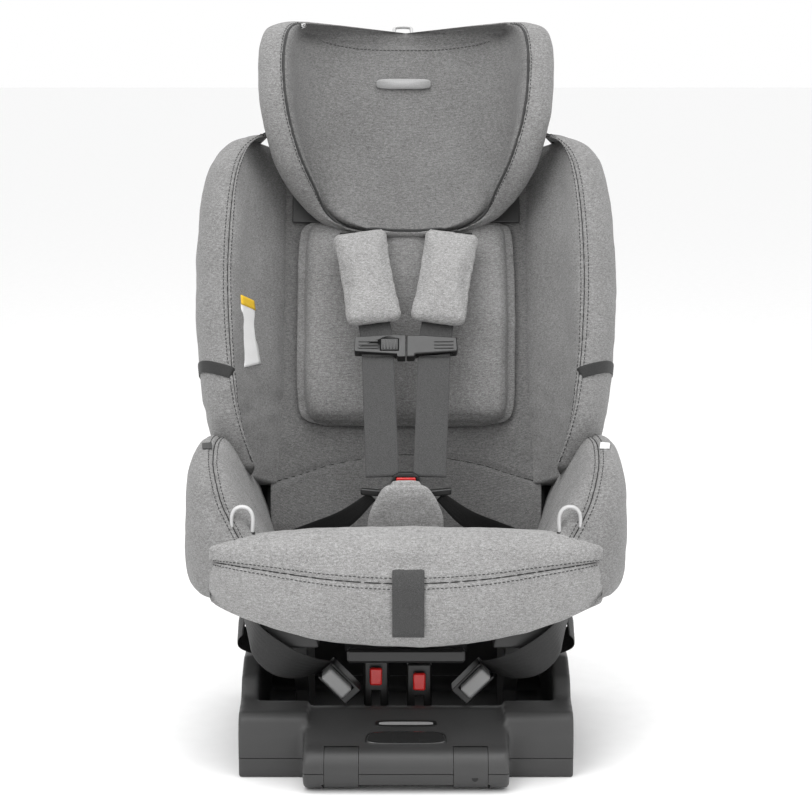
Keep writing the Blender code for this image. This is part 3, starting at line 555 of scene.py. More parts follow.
def rounded_block(name, origin, axes, low, high, bevel, material, body, replaces=(), segments=3):
    """A block with rounded edges, given in its own axes about an origin."""
    corners = [(low[0], low[1]), (high[0], low[1]), (high[0], high[1]), (low[0], high[1])]
    points = [origin + axes[0] * u + axes[1] * v + axes[2] * w for w in (low[2], high[2]) for u, v in corners]
    faces = [(0, 1, 2, 3), (4, 5, 6, 7), (0, 1, 5, 4), (1, 2, 6, 5), (2, 3, 7, 6), (3, 0, 4, 7)]
    made = from_faces(name, points, faces, material)
    work = bmesh.new()
    work.from_mesh(made.data)
    bmesh.ops.bevel(
        work, geom=work.edges[:] + work.verts[:], offset=bevel, segments=segments, affect="EDGES", profile=0.6
    )
    work.to_mesh(made.data)
    work.free()
    made.data.shade_smooth()
    made.data.set_sharp_from_angle(angle=math.radians(50))
    return finish_piece(made, body, replaces)


BACK_AXES = (X_AXIS, SLIDE, FORWARD)


def ripple(point, scale, seed):
    """Smooth noise between about -1 and 1."""
    return noise.noise(point * scale + Vector((seed, seed * 1.7, -seed)))


def groove(v, line, width, count):
    """1 on a seam line, fading to 0 a width away from it."""
    gap = abs((v - line + count / 2) % count - count / 2)
    return math.exp(-((gap / width) ** 2))


# Covers


def bolster_skin(sign):
    stations = [
        (0.080, 0.2150, 0.104),
        (0.118, 0.2290, 0.119),
        (0.160, 0.2390, 0.124),
        (0.230, 0.2475, 0.124),
        (0.310, 0.2515, 0.121),
        (0.390, 0.2490, 0.115),
        (0.440, 0.2435, 0.106),
        (0.468, 0.2350, 0.094),
        (0.485, 0.2215, 0.086),
        (0.495, 0.2060, 0.072),
    ]
    rings = []
    for s, outer, crest in stations:
        full = crest / 0.121
        ring = [(0.150, -0.0050), (0.205, -0.0020), (outer - 0.008, 0.010), (outer - 0.001, crest * 0.33)]
        ring += [(outer, crest * 0.60), (outer - 0.006, crest * 0.83), (outer - 0.022, crest - 0.001)]
        ring += [(outer - 0.043, crest + 0.0045), (0.197 - 0.012 * (1 - full), crest - 0.010)]
        ring += [(0.187, 0.076 * full), (0.171, 0.042 * full), (0.157, 0.018 * full), (0.148, 0.0)]
        rings.append([back(sign * x, s, d) for x, d in ring])

    def relief(point, t, v):
        lift = 0.0016 * ripple(point, 22, 3.0) + 0.0007 * ripple(point, 60, 5.0)
        seam = groove(v, 7.0, 0.10, 13)
        lift -= 0.0022 * seam
        pucker = groove(v, 7.0, 0.55, 13)
        lift += 0.0006 * pucker * math.sin(t * 34 + 2 * ripple(point, 30, 9.0))
        folds = math.exp(-((t - 2.0) ** 2) / 0.5)
        lift += 0.0014 * folds * ripple(Vector((point.x * 14, point.y * 14, point.z * 62)), 1.0, 2.0)
        return lift

    return Skin(rings, 0.30, relief).orient()


def wing_skin(sign):
    stations = [
        (-0.1995, 0.0, 0.2130, 0.2660, 0.1980),
        (-0.1750, 0.0, 0.2350, 0.3020, 0.1980),
        (-0.1400, 0.0, 0.2460, 0.3330, 0.2000),
        (-0.1000, 0.04, 0.2500, 0.3480, 0.2030),
        (-0.0600, 0.10, 0.2500, 0.3540, 0.2060),
        (-0.0200, 0.20, 0.2460, 0.3470, 0.2100),
        (0.0450, 0.33, 0.2370, 0.3150, 0.2150),
    ]
    rings = []
    for y, lean, outer, top, low in stations:
        floor = BIGHT.z + (BIGHT.y - SHIFT - y) * math.tan(PAN_TILT) + 0.002
        floor = min(floor, top - 0.022)
        crest = outer - 0.050
        ring = [(0.149, floor), (0.172, floor - 0.002), (0.205, low + 0.010), (outer - 0.010, low)]
        ring += [(outer - 0.001, low + 0.018), (outer, low + (top - low) * 0.45)]
        ring += [(outer - 0.003, low + (top - low) * 0.80)]
        ring += [(outer - 0.014, top - 0.003), (outer - 0.031, top), (crest, top - (top - floor) * 0.11)]
        for share, up in ((0.40, 0.42), (0.10, 0.12)):
            ring.append((0.151 + (crest - 0.151) * share, floor + (top - floor) * up))
        rings.append([place(sign * x, y + (z - floor) * lean, z) for x, z in ring])

    def relief(point, t, v):
        lift = 0.0015 * ripple(point, 24, 13.0) + 0.0006 * ripple(point, 70, 15.0)
        lift -= 0.0022 * groove(v, 8.1, 0.10, 12)
        lift += 0.0006 * groove(v, 8.1, 0.5, 12) * math.sin(t * 20 + 2 * ripple(point, 30, 19.0))
        if v > 9.2:
            crease = abs(t - 3.1 - 0.5 * (v - 10.5))
            lift -= 0.0016 * math.exp(-((crease / 0.10) ** 2))
        return lift

    return Skin(rings, 0.30, relief).orient()


LIP_HALF = 0.2050


def lip_seam(x):
    """How far round the lip's section its seam lies: it climbs towards both ends."""
    return 4.55 + 0.5 * abs(x / LIP_HALF) ** 2


def lip_skin():
    rings = []
    for x in (-0.212, -0.206, -0.192, -0.164, -0.120, -0.070, 0.0, 0.070, 0.120, 0.164, 0.192, 0.206, 0.212):
        bow = abs(x / LIP_HALF)
        front = -0.2475 + 0.026 * bow**2.2 + 0.012 * bow**14
        bottom = 0.1550 + 0.040 * bow**2.2
        crest = 0.2765 - 0.012 * bow**3 - 0.003 * bow**14
        lift = crest - bottom
        section = [(-0.190, bottom + lift * 0.14), ((front - 0.200) / 2, bottom - 0.001)]
        section += [(front + 0.008, bottom + lift * 0.06), (front, bottom + lift * 0.24)]
        section += [(front - 0.001, bottom + lift * 0.48), (front + 0.003, bottom + lift * 0.72)]
        section += [(front * 0.68 - 0.064, crest - 0.008), (-0.202, crest + 0.001), (-0.182, crest + 0.0015)]
        section += [(-0.160, crest - 0.006), (-0.168, bottom + lift * 0.62)]
        rings.append([place(x, y, z) for y, z in section])

    def relief(point, t, v):
        lift = 0.0014 * ripple(point, 20, 23.0) + 0.0006 * ripple(point, 62, 25.0)
        seam = lip_seam(point.x)
        lift -= 0.0020 * groove(v, seam, 0.10, 11)
        lift += 0.0005 * groove(v, seam, 0.5, 11) * math.sin(t * 38 + 2 * ripple(point, 28, 29.0))
        pocket = math.exp(-(((point.x - 0.0025) / 0.026) ** 4))
        lift -= 0.0035 * pocket * math.exp(-(((point.z - 0.2500) / 0.009) ** 2))
        return lift

    return Skin(rings, 0.28, relief).orient()


def headrest_skin():
    """The whole headrest cover: a deep shield with a wing on each side."""
    stations = [
        # s, half width of the middle pad, outer, reach of the wings
        (0.384, 0.040, 0.046, 0.030),
        (0.391, 0.072, 0.084, 0.034),
        (0.405, 0.096, 0.114, 0.042),
        (0.428, 0.108, 0.140, 0.068),
        (0.460, 0.113, 0.160, 0.094),
        (0.510, 0.115, 0.1745, 0.110),
        (0.565, 0.116, 0.1800, 0.114),
        (0.605, 0.116, 0.1785, 0.108),
        (0.628, 0.114, 0.1730, 0.094),
        (0.641, 0.111, 0.1620, 0.074),
    ]
    rings = []
    for s, middle, outer, reach in stations:
        full = min(1.0, max(0.0, (s - 0.384) / 0.05))
        high = min(1.0, max(0.0, (s - 0.560) / 0.080)) ** 1.3
        side = [(outer - 0.034 * full - 0.004, 0.0086), (outer - 0.020 * full - 0.002, 0.0100 + 0.014 * full)]
        side += [(outer - 0.008 * full, reach * 0.42), (outer, reach * 0.74), (outer - 0.004, reach * 0.93)]
        side += [(outer - 0.016 * full - 0.004, reach + 0.001), (outer - 0.033 * full - 0.006, reach * 0.96)]
        side += [(middle + 0.024 * full - 0.010, reach * 0.60), (middle * 0.86, 0.0400)]

        def point(x, d):
            dip = 0.017 * high * max(0.0, 1 - abs(x / 0.128) ** 3)
            return back(x, s - dip, d)

        share = middle / 0.115
        right = [point(x, d) for x, d in reversed(side)]
        left = [point(-x, d) for x, d in side]
        behind = [point(0.060 * share, 0.0086), point(-0.060 * share, 0.0086)]
        front = [point(-0.045 * share, 0.0345), point(0.045 * share, 0.0345)]
        rings.append(right + behind + left + front)

    def relief(point, t, v):
        lift = 0.0013 * ripple(point, 24, 33.0) + 0.0005 * ripple(point, 66, 35.0)
        for line in (2.35, 16.65):
            lift -= 0.0016 * groove(v, line, 0.12, 22)
            lift += 0.0005 * groove(v, line, 0.5, 22) * math.sin(t * 26)
        return lift

    return Skin(rings, 0.22, relief).orient()


def make_covers():
    """Bolsters, seat wings, front lip and headrest, with their seams."""
    skins = {}
    for sign, word in SIDES:
        skin = skins["bolster_" + word] = bolster_skin(sign)
        made = skin.mesh("back_bolster_cover_" + word, FABRIC, 150, 200)
        finish_piece(made, "shell", ("back_bolster_" + word,))
        skin = skins["wing_" + word] = wing_skin(sign)
        made = skin.mesh("seat_wing_cover_" + word, FABRIC, 110, 180)
        finish_piece(made, "shell", ("seat_wing_" + word,))
    skin = skins["lip"] = lip_skin()
    # The lip takes the lighter copy of the cloth: painted light on its top and front.
    made = skin.mesh("front_lip_cover", FABRIC_PAINTED_LIGHT, 200, 150)
    finish_piece(made, "shell", ("front_lip",))
    skin = skins["headrest"] = headrest_skin()
    made = skin.mesh("headrest_cover", FABRIC, 130, 300)
    # The second slot is the darker copy of the cloth: painted shade on the middle panel between the piping
    # seams.
    made.data.materials.append(FABRIC_PAINTED_SHADE)
    stands_for = ("headrest_pad", "headrest_wing_left", "headrest_wing_right")
    finish_piece(made, "headrest", stands_for)
    columns = 300
    for face in made.data.polygons:
        places = [index % columns for index in face.vertices]
        v = (max(places) if max(places) - min(places) > 1 else min(places)) * skin.count / columns
        row = min(face.vertices) // columns
        if row > 3 and (v < 2.35 or v > 16.65):
            face.material_index = 1
    return skins


def beside(skin, line, *offsets, lift=0.0004):
    """Rows of stitches that follow a seam line at these distances round the skin."""
    return [(skin, [(t, v + offset) for t, v in line], lift) for offset in offsets]


def make_seams(skins):
    rows = []
    for sign, word in SIDES:
        skin = skins["bolster_" + word]
        line = [(0.1, 7.0), (2.0, 7.0), (4.0, 7.0), (6.0, 7.0), (8.0, 7.0), (9.0, 7.0)]
        # A thin dark cord sunk in the seam groove: painted shadow.
        piping("bolster_seam_shadow_" + word, skin, line, 0.0007, "shell", PAINTED_SHADOW, 0.0)
        rows += beside(skin, line, -0.28, 0.22)
        skin = skins["wing_" + word]
        line = [(0.0, 8.1), (1.0, 8.1), (3.0, 8.1), (5.0, 8.1), (6.0, 8.1)]
        # A thin dark cord sunk in the seam groove: painted shadow.
        piping("wing_seam_shadow_" + word, skin, line, 0.0007, "shell", PAINTED_SHADOW, 0.0)
        rows += beside(skin, line, -0.30, 0.22, lift=0.0003)
    skin = skins["lip"]
    line = [(t, lip_seam(skin.bare(t, 4.5).x)) for t in (0.4, 1.5, 3, 4.5, 6, 7.5, 9, 10.5, 11.6)]
    # A thin dark cord sunk in the lip's seam groove: painted shadow.
    piping("lip_seam", skin, line, 0.0007, "shell", PAINTED_SHADOW, 0.0)
    rows += beside(skin, line, 0.20, -0.20)
    stitches("cover_stitches", rows, THREAD, "shell")
    skin = skins["headrest"]
    left = [(9.0, 2.35), (8.0, 2.35), (6.0, 2.35), (4.0, 2.35), (3.0, 2.35), (2.0, 2.2), (1.0, 1.6)]
    right = [(t, 19.0 - v) for t, v in left]
    around = left + [(0.55, 0.6), (0.40, -0.6), (0.35, -1.5), (0.40, -2.4), (0.55, -3.6)]
    around += [(t, v - 22) for t, v in reversed(right)]
    piping("headrest_piping", skin, around, 0.0016, "headrest")
    rows = beside(skin, left, 0.18, lift=0.0003) + beside(skin, right, -0.18, lift=0.0003)
    top = [(8.55, 0.2), (8.50, -0.7), (8.50, -1.5), (8.50, -2.3), (8.55, -3.2)]
    rows.append((skin, top, 0.0003))
    stitches("headrest_stitches", rows, THREAD, "headrest")


def round_rectangle(count):
    """Points of a rounded rectangle that is two units wide and two high, counter-clockwise."""

    def squared(value):
        return math.copysign(abs(value) ** 0.45, value)

    angles = [2 * math.pi * k / count for k in range(count)]
    return [(squared(math.cos(angle)), squared(math.sin(angle))) for angle in angles]


def make_trim(skins):
    """Elastic bands, labels and tags."""
    for sign, word in SIDES:
        skin = skins["bolster_" + word]
        stops = [(2.62, 3.2), (2.60, 4.2), (2.55, 5.2), (2.45, 6.2), (2.36, 6.95)]
        strip("elastic_band_" + word, skin, stops, 0.014, 0.0012, ELASTIC, "shell", ribs=5)
        wing = skins["wing_" + word]
        tag = [(3.05, 7.7), (3.45, 7.6)]
        strip("wing_tag_" + word, wing, tag, 0.011, 0.0012, INK if sign < 0 else PAPER, "shell")
    left = skins["bolster_left"]
    strip("care_label", left, [(2.70, 9.25), (3.10, 9.0), (3.70, 8.85)], 0.046, 0.0008, PAPER, "shell")
    strip("care_label_band", left, [(3.58, 8.88), (3.72, 8.845)], 0.0462, 0.0012, YELLOW, "shell")
    badge = [back(0.0335 * x - 0.003, 0.5745 + 0.0064 * s, 0.0385) for x, s in round_rectangle(40)]
    middle = sum(badge, Vector()) / 40
    points = badge + [p - FORWARD * 0.0030 for p in badge] + [middle + FORWARD * 0.0004]
    faces = [(k, (k + 1) % 40, 80) for k in range(40)] + [tuple(range(40, 80))]
    faces += [(k, (k + 1) % 40, 40 + (k + 1) % 40, 40 + k) for k in range(40)]
    finish_piece(from_faces("headrest_badge", points, faces, PATCH), "headrest")


def inflate(name, node, material, body, grow):
    """A cushion blown up by a short cloth simulation of the CAD solid's own shape, made larger by grow."""
    pressure, cap, voxel, relief = 5.0, 0.006, 0.003, 0.0008
    mesh = NODES[node].data.copy()
    mesh.name = name
    mesh.materials.clear()
    centre = sum((v.co for v in mesh.vertices), Vector()) / len(mesh.vertices)
    for vertex in mesh.vertices:
        vertex.co = centre + (vertex.co - centre) * grow
    made = add_object(name, mesh, material)
    remesh = made.modifiers.new("Even mesh", "REMESH")
    remesh.mode = "VOXEL"
    remesh.voxel_size = voxel
    apply_modifiers(made)
    rest = [v.co.copy() for v in made.data.vertices]
    cloth = made.modifiers.new("Cloth", "CLOTH")
    cloth.settings.use_pressure = True
    cloth.settings.uniform_pressure_force = pressure
    cloth.settings.effector_weights.gravity = 0
    cloth.settings.tension_stiffness = 25
    cloth.settings.compression_stiffness = 25
    cloth.settings.bending_stiffness = 2.0
    cloth.point_cache.frame_start = 1
    cloth.point_cache.frame_end = 20
    for step in range(1, 21):
        bpy.context.scene.frame_set(step)
    apply_modifiers(made)
    bpy.context.scene.frame_set(1)
    for vertex, start in zip(made.data.vertices, rest):
        move = vertex.co - start
        if move.length > cap:
            move *= cap / move.length
        vertex.co = start + move
    smooth = made.modifiers.new("Smooth", "SMOOTH")
    smooth.iterations = 4
    smooth.factor = 0.5
    finer = made.modifiers.new("Finer", "SUBSURF")
    finer.levels = finer.render_levels = 1
    apply_modifiers(made)
    normals = [v.normal.copy() for v in made.data.vertices]
    for vertex, out in zip(made.data.vertices, normals):
        vertex.co += out * relief * (ripple(vertex.co, 34, 67.0) + 0.5 * ripple(vertex.co, 90, 69.0))
    made.data.shade_smooth()
    return finish_piece(made, body, (node,))


def apply_modifiers(made):
    evaluated = made.evaluated_get(bpy.context.evaluated_depsgraph_get())
    mesh = bpy.data.meshes.new_from_object(evaluated)
    made.modifiers.clear()
    made.data = mesh


def make_seat_panels():
    """The back and the seat surface, which turn up into the bolsters and the wings at their sides."""

    def turned_up(x, half, rise):
        return rise * abs(x / half) ** 5

    def arch_line(x):
        """Where the back's arched seam lies: round the section, it rises in the middle."""
        return 5.05 - 0.55 * (1 - (x / half) ** 2)

    half = 0.158
    across = (-half, -0.150, -0.120, -0.080, 0.0, 0.080, 0.120, 0.150, half)
    rings = []
    for x in across:
        up = turned_up(x, half, 0.020)
        # The lowered headrest passes close in front of the upper part, which therefore stays flat.
        front = [(s, 0.0003) for s in (0.466, 0.380, 0.300, 0.220, 0.150, 0.080, 0.020)]
        rear = [(s, -0.0100) for s in (0.000, 0.120, 0.300, 0.466)]
        rings.append([back(x, s, d + up * max(0.0, 1 - s / 0.24)) for s, d in front + rear])

    def back_relief(point, t, v):
        lift = 0.0008 * ripple(point, 20, 63.0) + 0.0004 * ripple(point, 75, 66.0)
        arch = arch_line(point.x)
        return lift - 0.0022 * groove(v, arch, 0.035, 11) + 0.0006 * groove(v, arch + 0.5, 0.45, 11)

    panel = Skin(rings, 0.15, back_relief).orient()
    # The back panel takes the darker copy of the cloth: painted shade.
    finish_piece(panel.mesh("back_pad_cover", FABRIC_PAINTED_SHADE, 110, 240), "shell", ("back_pad",))
    arch = [(t, arch_line(panel.bare(t, 5).x)) for t in (0.4, 1.5, 3.0, 4.0, 5.0, 6.5, 7.6)]
    # A thin dark cord sunk in the arched seam's groove: painted shadow.
    piping("back_arch_seam_shadow", panel, arch, 0.0006, "shell", PAINTED_SHADOW, 0.0)
    rings = []
    for x in across:
        up = turned_up(x, half, 0.012)
        rise, run = math.sin(PAN_TILT), math.cos(PAN_TILT)
        top = [(q, 0.0015 + up) for q in (-0.008, 0.040, 0.090, 0.142)]
        under = [(q, -0.0090 + up) for q in (0.142, 0.090, 0.040, -0.004)]
        outline = [(BIGHT.y - q * run + h * rise, BIGHT.z + q * rise + h * run) for q, h in top + under]
        rings.append([Vector((x, y, z)) for y, z in outline])
    seat = Skin(rings, 0.15, lambda point, t, v: 0.0014 * ripple(point, 24, 61.0)).orient()
    # The seat panel takes the darker copy of the cloth: painted shade.
    finish_piece(seat.mesh("seat_pad_cover", FABRIC_PAINTED_SHADE, 90, 140), "shell", ("seat_pad",))


def insert_skin():
    """The padded insert that moves up with the straps: crowned, with soft corners and two slots' folds."""
    rings = []
    for s, half, thick in (
        (0.151, 0.098, 0.012),
        (0.155, 0.112, 0.020),
        (0.166, 0.1195, 0.028),
        (0.200, 0.1225, 0.031),
        (0.270, 0.1230, 0.032),
        (0.340, 0.1225, 0.030),
        (0.380, 0.1215, 0.026),
        (0.398, 0.1180, 0.020),
        (0.404, 0.1080, 0.012),
    ):
        ring = [(-half + 0.006, 0.0065), (-half, thick * 0.5), (-half + 0.005, thick * 0.86)]
        ring += [(-half + 0.018, thick), (-0.5 * half, thick + 0.0012), (0.0, thick + 0.0015)]
        ring += [(-x, d) for x, d in reversed(ring[:-1])]
        rings.append([back(x, s, d) for x, d in ring])

    def relief(point, t, v):
        lift = 0.0018 * ripple(point, 18, 65.0) + 0.0006 * ripple(point, 64, 66.0)
        for sign in (-1, 1):
            slot = math.exp(-(((point.x - sign * 0.057) / 0.026) ** 4)) * math.exp(-(((t - 5.9) / 0.22) ** 2))
            lift -= 0.0100 * slot
        return lift

    return Skin(rings, 0.15, relief).orient()


def crotch_skin():
    """The pad in front of the buckle: narrow at its top, wider where it goes down to the seat."""
    rings = []
    for z, half, thick in (
        (0.2400, 0.0400, 0.0060),
        (0.2560, 0.0425, 0.0075),
        (0.2720, 0.0420, 0.0078),
        (0.2860, 0.0370, 0.0076),
        (0.2990, 0.0300, 0.0070),
        (0.3060, 0.0240, 0.0056),
        (0.3090, 0.0170, 0.0036),
    ):
        ring = [(-half, 0.0), (-half + 0.004, -thick), (-0.5 * half, -thick - 0.0014), (0.0, -thick - 0.0020)]
        ring += [(-x, d) for x, d in reversed(ring[:-1])]
        ring += [(half * 0.6, thick * 0.8), (-half * 0.6, thick * 0.8)]
        rings.append([place(x, -0.0960 + d, z) for x, d in ring])
    return Skin(rings, 0.15, lambda point, t, v: 0.0008 * ripple(point, 60, 69.0)).orient()


def make_pads():
    """Seat and back pads, body insert, shoulder pads and crotch pad."""
    make_seat_panels()
    made = insert_skin().mesh("body_insert_cover", FABRIC, 90, 160)
    finish_piece(made, "headrest", ("body_insert",))
    for sign, word in SIDES:
        # The shoulder pads take the lighter copy of the cloth: painted light.
        inflate("shoulder_pad_cover_" + word, "shoulder_pad_" + word, FABRIC_PAINTED_LIGHT, "headrest", 1.12)
    # The crotch pad takes the lighter copy of the cloth: painted light.
    made = crotch_skin().mesh("crotch_pad_cover", FABRIC_PAINTED_LIGHT, 60, 90)
    finish_piece(made, "shell", ("crotch_pad",))


# Harness

STRAP_TOP = (0.377, 0.036)
STRAP_END = (0.060, 0.1385)
SLOT_X, CLIP_X, TONGUE_X = 0.057, 0.034, 0.027
CLIP_S = 0.226


def strap_point(side, t, lift=0.0):
    """A point on a shoulder strap's middle line: t is 0 at the slot and 1 at the buckle tongue."""
    s = STRAP_TOP[0] + (STRAP_END[0] - STRAP_TOP[0]) * t
    d = STRAP_TOP[1] + (STRAP_END[1] - STRAP_TOP[1]) * t
    bend = min(t / 0.45, 1.0)
    x = SLOT_X + (CLIP_X - SLOT_X) * bend + (TONGUE_X - CLIP_X) * max(0.0, (t - 0.45) / 0.55)
    length = math.hypot(STRAP_END[0] - STRAP_TOP[0], STRAP_END[1] - STRAP_TOP[1])
    out_s = (STRAP_END[1] - STRAP_TOP[1]) / length
    out_d = (STRAP_TOP[0] - STRAP_END[0]) / length
    return back(side * x, s + out_s * lift, d + out_d * lift)


def make_harness():
    for sign, word in SIDES:
        stops = [strap_point(sign, t) for t in (0.0, 0.15, 0.30, 0.45, 0.515)]
        made = webbing("shoulder_webbing_" + word, stops, [X_AXIS] * 5, [0.038] * 5, 0.0015, WEBBING, 9)
        finish_piece(made, "headrest", ("shoulder_strap_" + word,))
        stops = [strap_point(sign, t) for t in (0.518, 0.68, 0.84, 1.0)]
        made = webbing("lower_webbing_" + word, stops, [X_AXIS] * 4, [0.038] * 4, 0.0015, WEBBING, 9)
        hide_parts("lower_strap_" + word)
        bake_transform(made)
        refined("buckle_tongue_" + word, 0.0014, BLACK_PLASTIC)
        tongue = place(sign * 0.029, -0.072, 0.294)
        lap = [tongue + Vector((sign * 0.010, 0.004, -0.005)), place(sign * 0.070, -0.050, 0.260)]
        lap += [place(sign * 0.103, -0.022, 0.239), place(sign * 0.134, 0.0, 0.2225)]
        twist = [(sign * 0.30, -0.15, 0.80), (sign * 0.42, -0.20, 0.75), (sign * 0.45, -0.20, 0.75)]
        twist += [(sign * 0.45, -0.10, 0.75)]
        wide = [0.012, 0.022, 0.026, 0.026]
        made = webbing("lap_webbing_" + word, lap, twist, wide, 0.0015, WEBBING_BLACK, 6)
        finish_piece(made, "shell", ("lap_strap_" + word,))
        refined("chest_clip_" + word, 0.0014, BLACK_PLASTIC)
    refined("chest_clip_button", 0.0008, BLACK_PLASTIC)
    refined("buckle_housing", 0.0022, BLACK_PLASTIC)
    refined("buckle_button", 0.0010, RED_PLASTIC)
    stops = [place(0, -0.0740, 0.2505), place(0, -0.0730, 0.2450), place(0, -0.0720, 0.2330)]
    made = webbing("crotch_webbing", stops, [X_AXIS] * 3, [0.038] * 3, 0.0030, WEBBING, 9)
    finish_piece(made, "shell", ("crotch_strap",))
    fall = [(-0.2250, 0.2470), (-0.2415, 0.2430), (-0.2495, 0.2300), (-0.2515, 0.2100), (-0.2510, 0.1720)]
    stops = [place(0.0025, y, z) for y, z in fall]
    made = webbing("adjuster_webbing", stops, [X_AXIS] * 5, [0.0345] * 5, 0.0016, WEBBING, 9, 0.003)
    finish_piece(made, "shell", ("adjuster_strap",))
    refined("adjuster_housing", 0.0008, STEEL)
    refined("adjuster_lever", 0.0008, BLACK_PLASTIC)


def raised_bar(name, origin, axes, low, high, bevel, body):
    rounded_block(name, origin, axes, low, high, bevel, BLACK_PLASTIC, body, segments=2)


def make_clip_details():
    """Raised grip bars on the chest clip and fine lines round its press area."""
    t_clip = (STRAP_TOP[0] - CLIP_S) / (STRAP_TOP[0] - STRAP_END[0])
    middle = strap_point(0, t_clip)
    up = (strap_point(0, 0) - strap_point(0, 1)).normalized()
    out = (strap_point(0, 0.5, 0.1) - strap_point(0, 0.5)).normalized()
    axes = (X_AXIS, up, out)
    for k in range(5):
        x = -0.0270 + 0.0037 * k
        low, high = (x - 0.0009, -0.0060, 0.0070), (x + 0.0009, 0.0060, 0.0086)
        raised_bar(f"clip_grip_{k}", middle, axes, low, high, 0.0005, "clip_press")
    for sign, word in SIDES:
        ends = sorted((sign * 0.0330, sign * 0.0560))
        for k, level in enumerate((-0.0045, 0.0, 0.0045)):
            low, high = (ends[0], level - 0.0010, 0.0060), (ends[1], level + 0.0010, 0.0076)
            raised_bar(f"clip_rib_{word}_{k}", middle, axes, low, high, 0.0006, "headrest")


def make_holders():
    """The pale loops on the seat wings that hold the harness open, each on a dark ribbed strip."""
    for sign, word in SIDES:
        half = [(-0.0095, -0.016), (-0.0105, 0.004), (-0.0070, 0.0135)]
        loop = half + [(0.0, 0.0165)] + [(-x, z) for x, z in reversed(half)]
        stops = [place(sign * (0.1790 + x * 1.10), -0.1860, 0.2850 + z * 1.0) for x, z in loop]
        path = smooth_line(stops, 0.0012)
        out = [Vector((0, 1, 0.0))] * len(path)
        made = cord_mesh("holder_loop_" + word, path, 0.0021, PALE_PLASTIC, 12, 1.7, out)
        finish_piece(made, "shell", ("harness_holder_" + word,))
        ends = sorted((sign * 0.1650, sign * 0.1910))
        step = (ends[1] - ends[0]) / 8
        path = [place(ends[0] + step * i, -0.1895 - 0.001 * (i % 2), 0.2705) for i in range(9)]
        upright = [Vector((0, 0, 1))] * 9
        made = band_mesh("holder_strip_" + word, path, upright, [0.007] * 9, 0.0016, WEBBING_BLACK, 3)
        finish_piece(made, "shell")


# Hard parts


PIVOT = (-0.2392, 0.0236)  # y, z of the foot's axle, and the radius of the nose around it
NOSE_RADIUS = 0.0225
NOSE_HALF = 0.112
SLOPE_LOW, SLOPE_HIGH = (-0.236, 0.0465), (-0.172, 0.070)
SEAM_Z = 0.0225


def prism_mesh(name, outline, low, high, material=None):
    """An outline of y, z points extruded along X."""
    count = len(outline)
    points = [place(x, y, z) for x in (low, high) for y, z in outline]
    faces = [tuple(range(count)), tuple(range(count, 2 * count))] + ring_faces(2, count)
    return from_faces(name, points, faces, material, False)


def circle(radius, sides=48):
    """Points of a circle round the foot's axle, as y, z."""
    angles = [2 * math.pi * k / sides for k in range(sides)]
    return [(PIVOT[0] + radius * math.cos(a), PIVOT[1] + radius * math.sin(a)) for a in angles]


def make_base_mouldings():
    """Both base halves with moulded, rounded forms: one soft body, cut again at the seam and for the foot."""
    whole = bmesh.new()
    for node in ("base_lower", "base_upper"):
        whole.from_mesh(NODES[node].data)
    nose = [(-0.160, 0.001), (PIVOT[0], 0.0012)]
    for k in range(13):
        angle = math.radians(262 - (262 - 100) * k / 12)
        nose.append((PIVOT[0] + NOSE_RADIUS * math.cos(angle), PIVOT[1] + NOSE_RADIUS * math.sin(angle)))
    nose += [SLOPE_LOW, SLOPE_HIGH, (-0.160, 0.070)]
    filler = prism_mesh("nose_filler", nose, -NOSE_HALF + 0.001, NOSE_HALF - 0.001)
    whole.from_mesh(filler.data)
    bmesh.ops.remove_doubles(whole, verts=whole.verts, dist=0.00002)
    mesh = bpy.data.meshes.new("base_whole")
    whole.to_mesh(mesh)
    whole.free()
    bpy.data.objects.remove(filler)
    made = add_object("base_whole", mesh, None)
    remesh = made.modifiers.new("Even mesh", "REMESH")
    remesh.mode = "VOXEL"
    remesh.voxel_size = 0.0024
    smooth = made.modifiers.new("Soft corners", "SMOOTH")
    smooth.iterations = 14
    smooth.factor = 0.5
    cutters = []
    for sign in (-1, 1):
        ends = sorted((sign * 0.0510, sign * 0.0890))
        cutters.append(prism_mesh(f"knuckle_way_{sign}", circle(NOSE_RADIUS + 0.0006), *ends))
    recess = [(-0.275, -0.01), (-0.275, 0.0005), (-0.245, 0.0135), (-0.0860, 0.0135), (-0.0860, -0.01)]
    cutters.append(prism_mesh("foot_recess_way", recess, -0.0915, 0.0915))
    for cutter in cutters:
        cut = made.modifiers.new("Cut", "BOOLEAN")
        cut.object = cutter
        cut.operation = "DIFFERENCE"
    apply_modifiers(made)
    for cutter in cutters:
        bpy.data.objects.remove(cutter)
    for node, level, side in (("base_lower", SEAM_Z - 0.0004, 1), ("base_upper", SEAM_Z + 0.0004, -1)):
        half = bmesh.new()
        half.from_mesh(made.data)
        geometry = half.verts[:] + half.edges[:] + half.faces[:]
        cut = bmesh.ops.bisect_plane(
            half, geom=geometry, plane_co=(0, 0, level), plane_no=(0, 0, side), clear_outer=True
        )
        edges = [e for e in cut["geom_cut"] if isinstance(e, bmesh.types.BMEdge)]
        bmesh.ops.triangle_fill(half, edges=edges, use_beauty=True)
        bmesh.ops.recalc_face_normals(half, faces=half.faces)
        mesh = bpy.data.meshes.new(node + "_moulding")
        half.to_mesh(mesh)
        half.free()
        mesh.shade_smooth()
        mesh.set_sharp_from_angle(angle=math.radians(42))
        piece = add_object(node + "_moulding", mesh, BASE_PLASTIC)
        finish_piece(piece, "base", (node,))
    bpy.data.objects.remove(made)


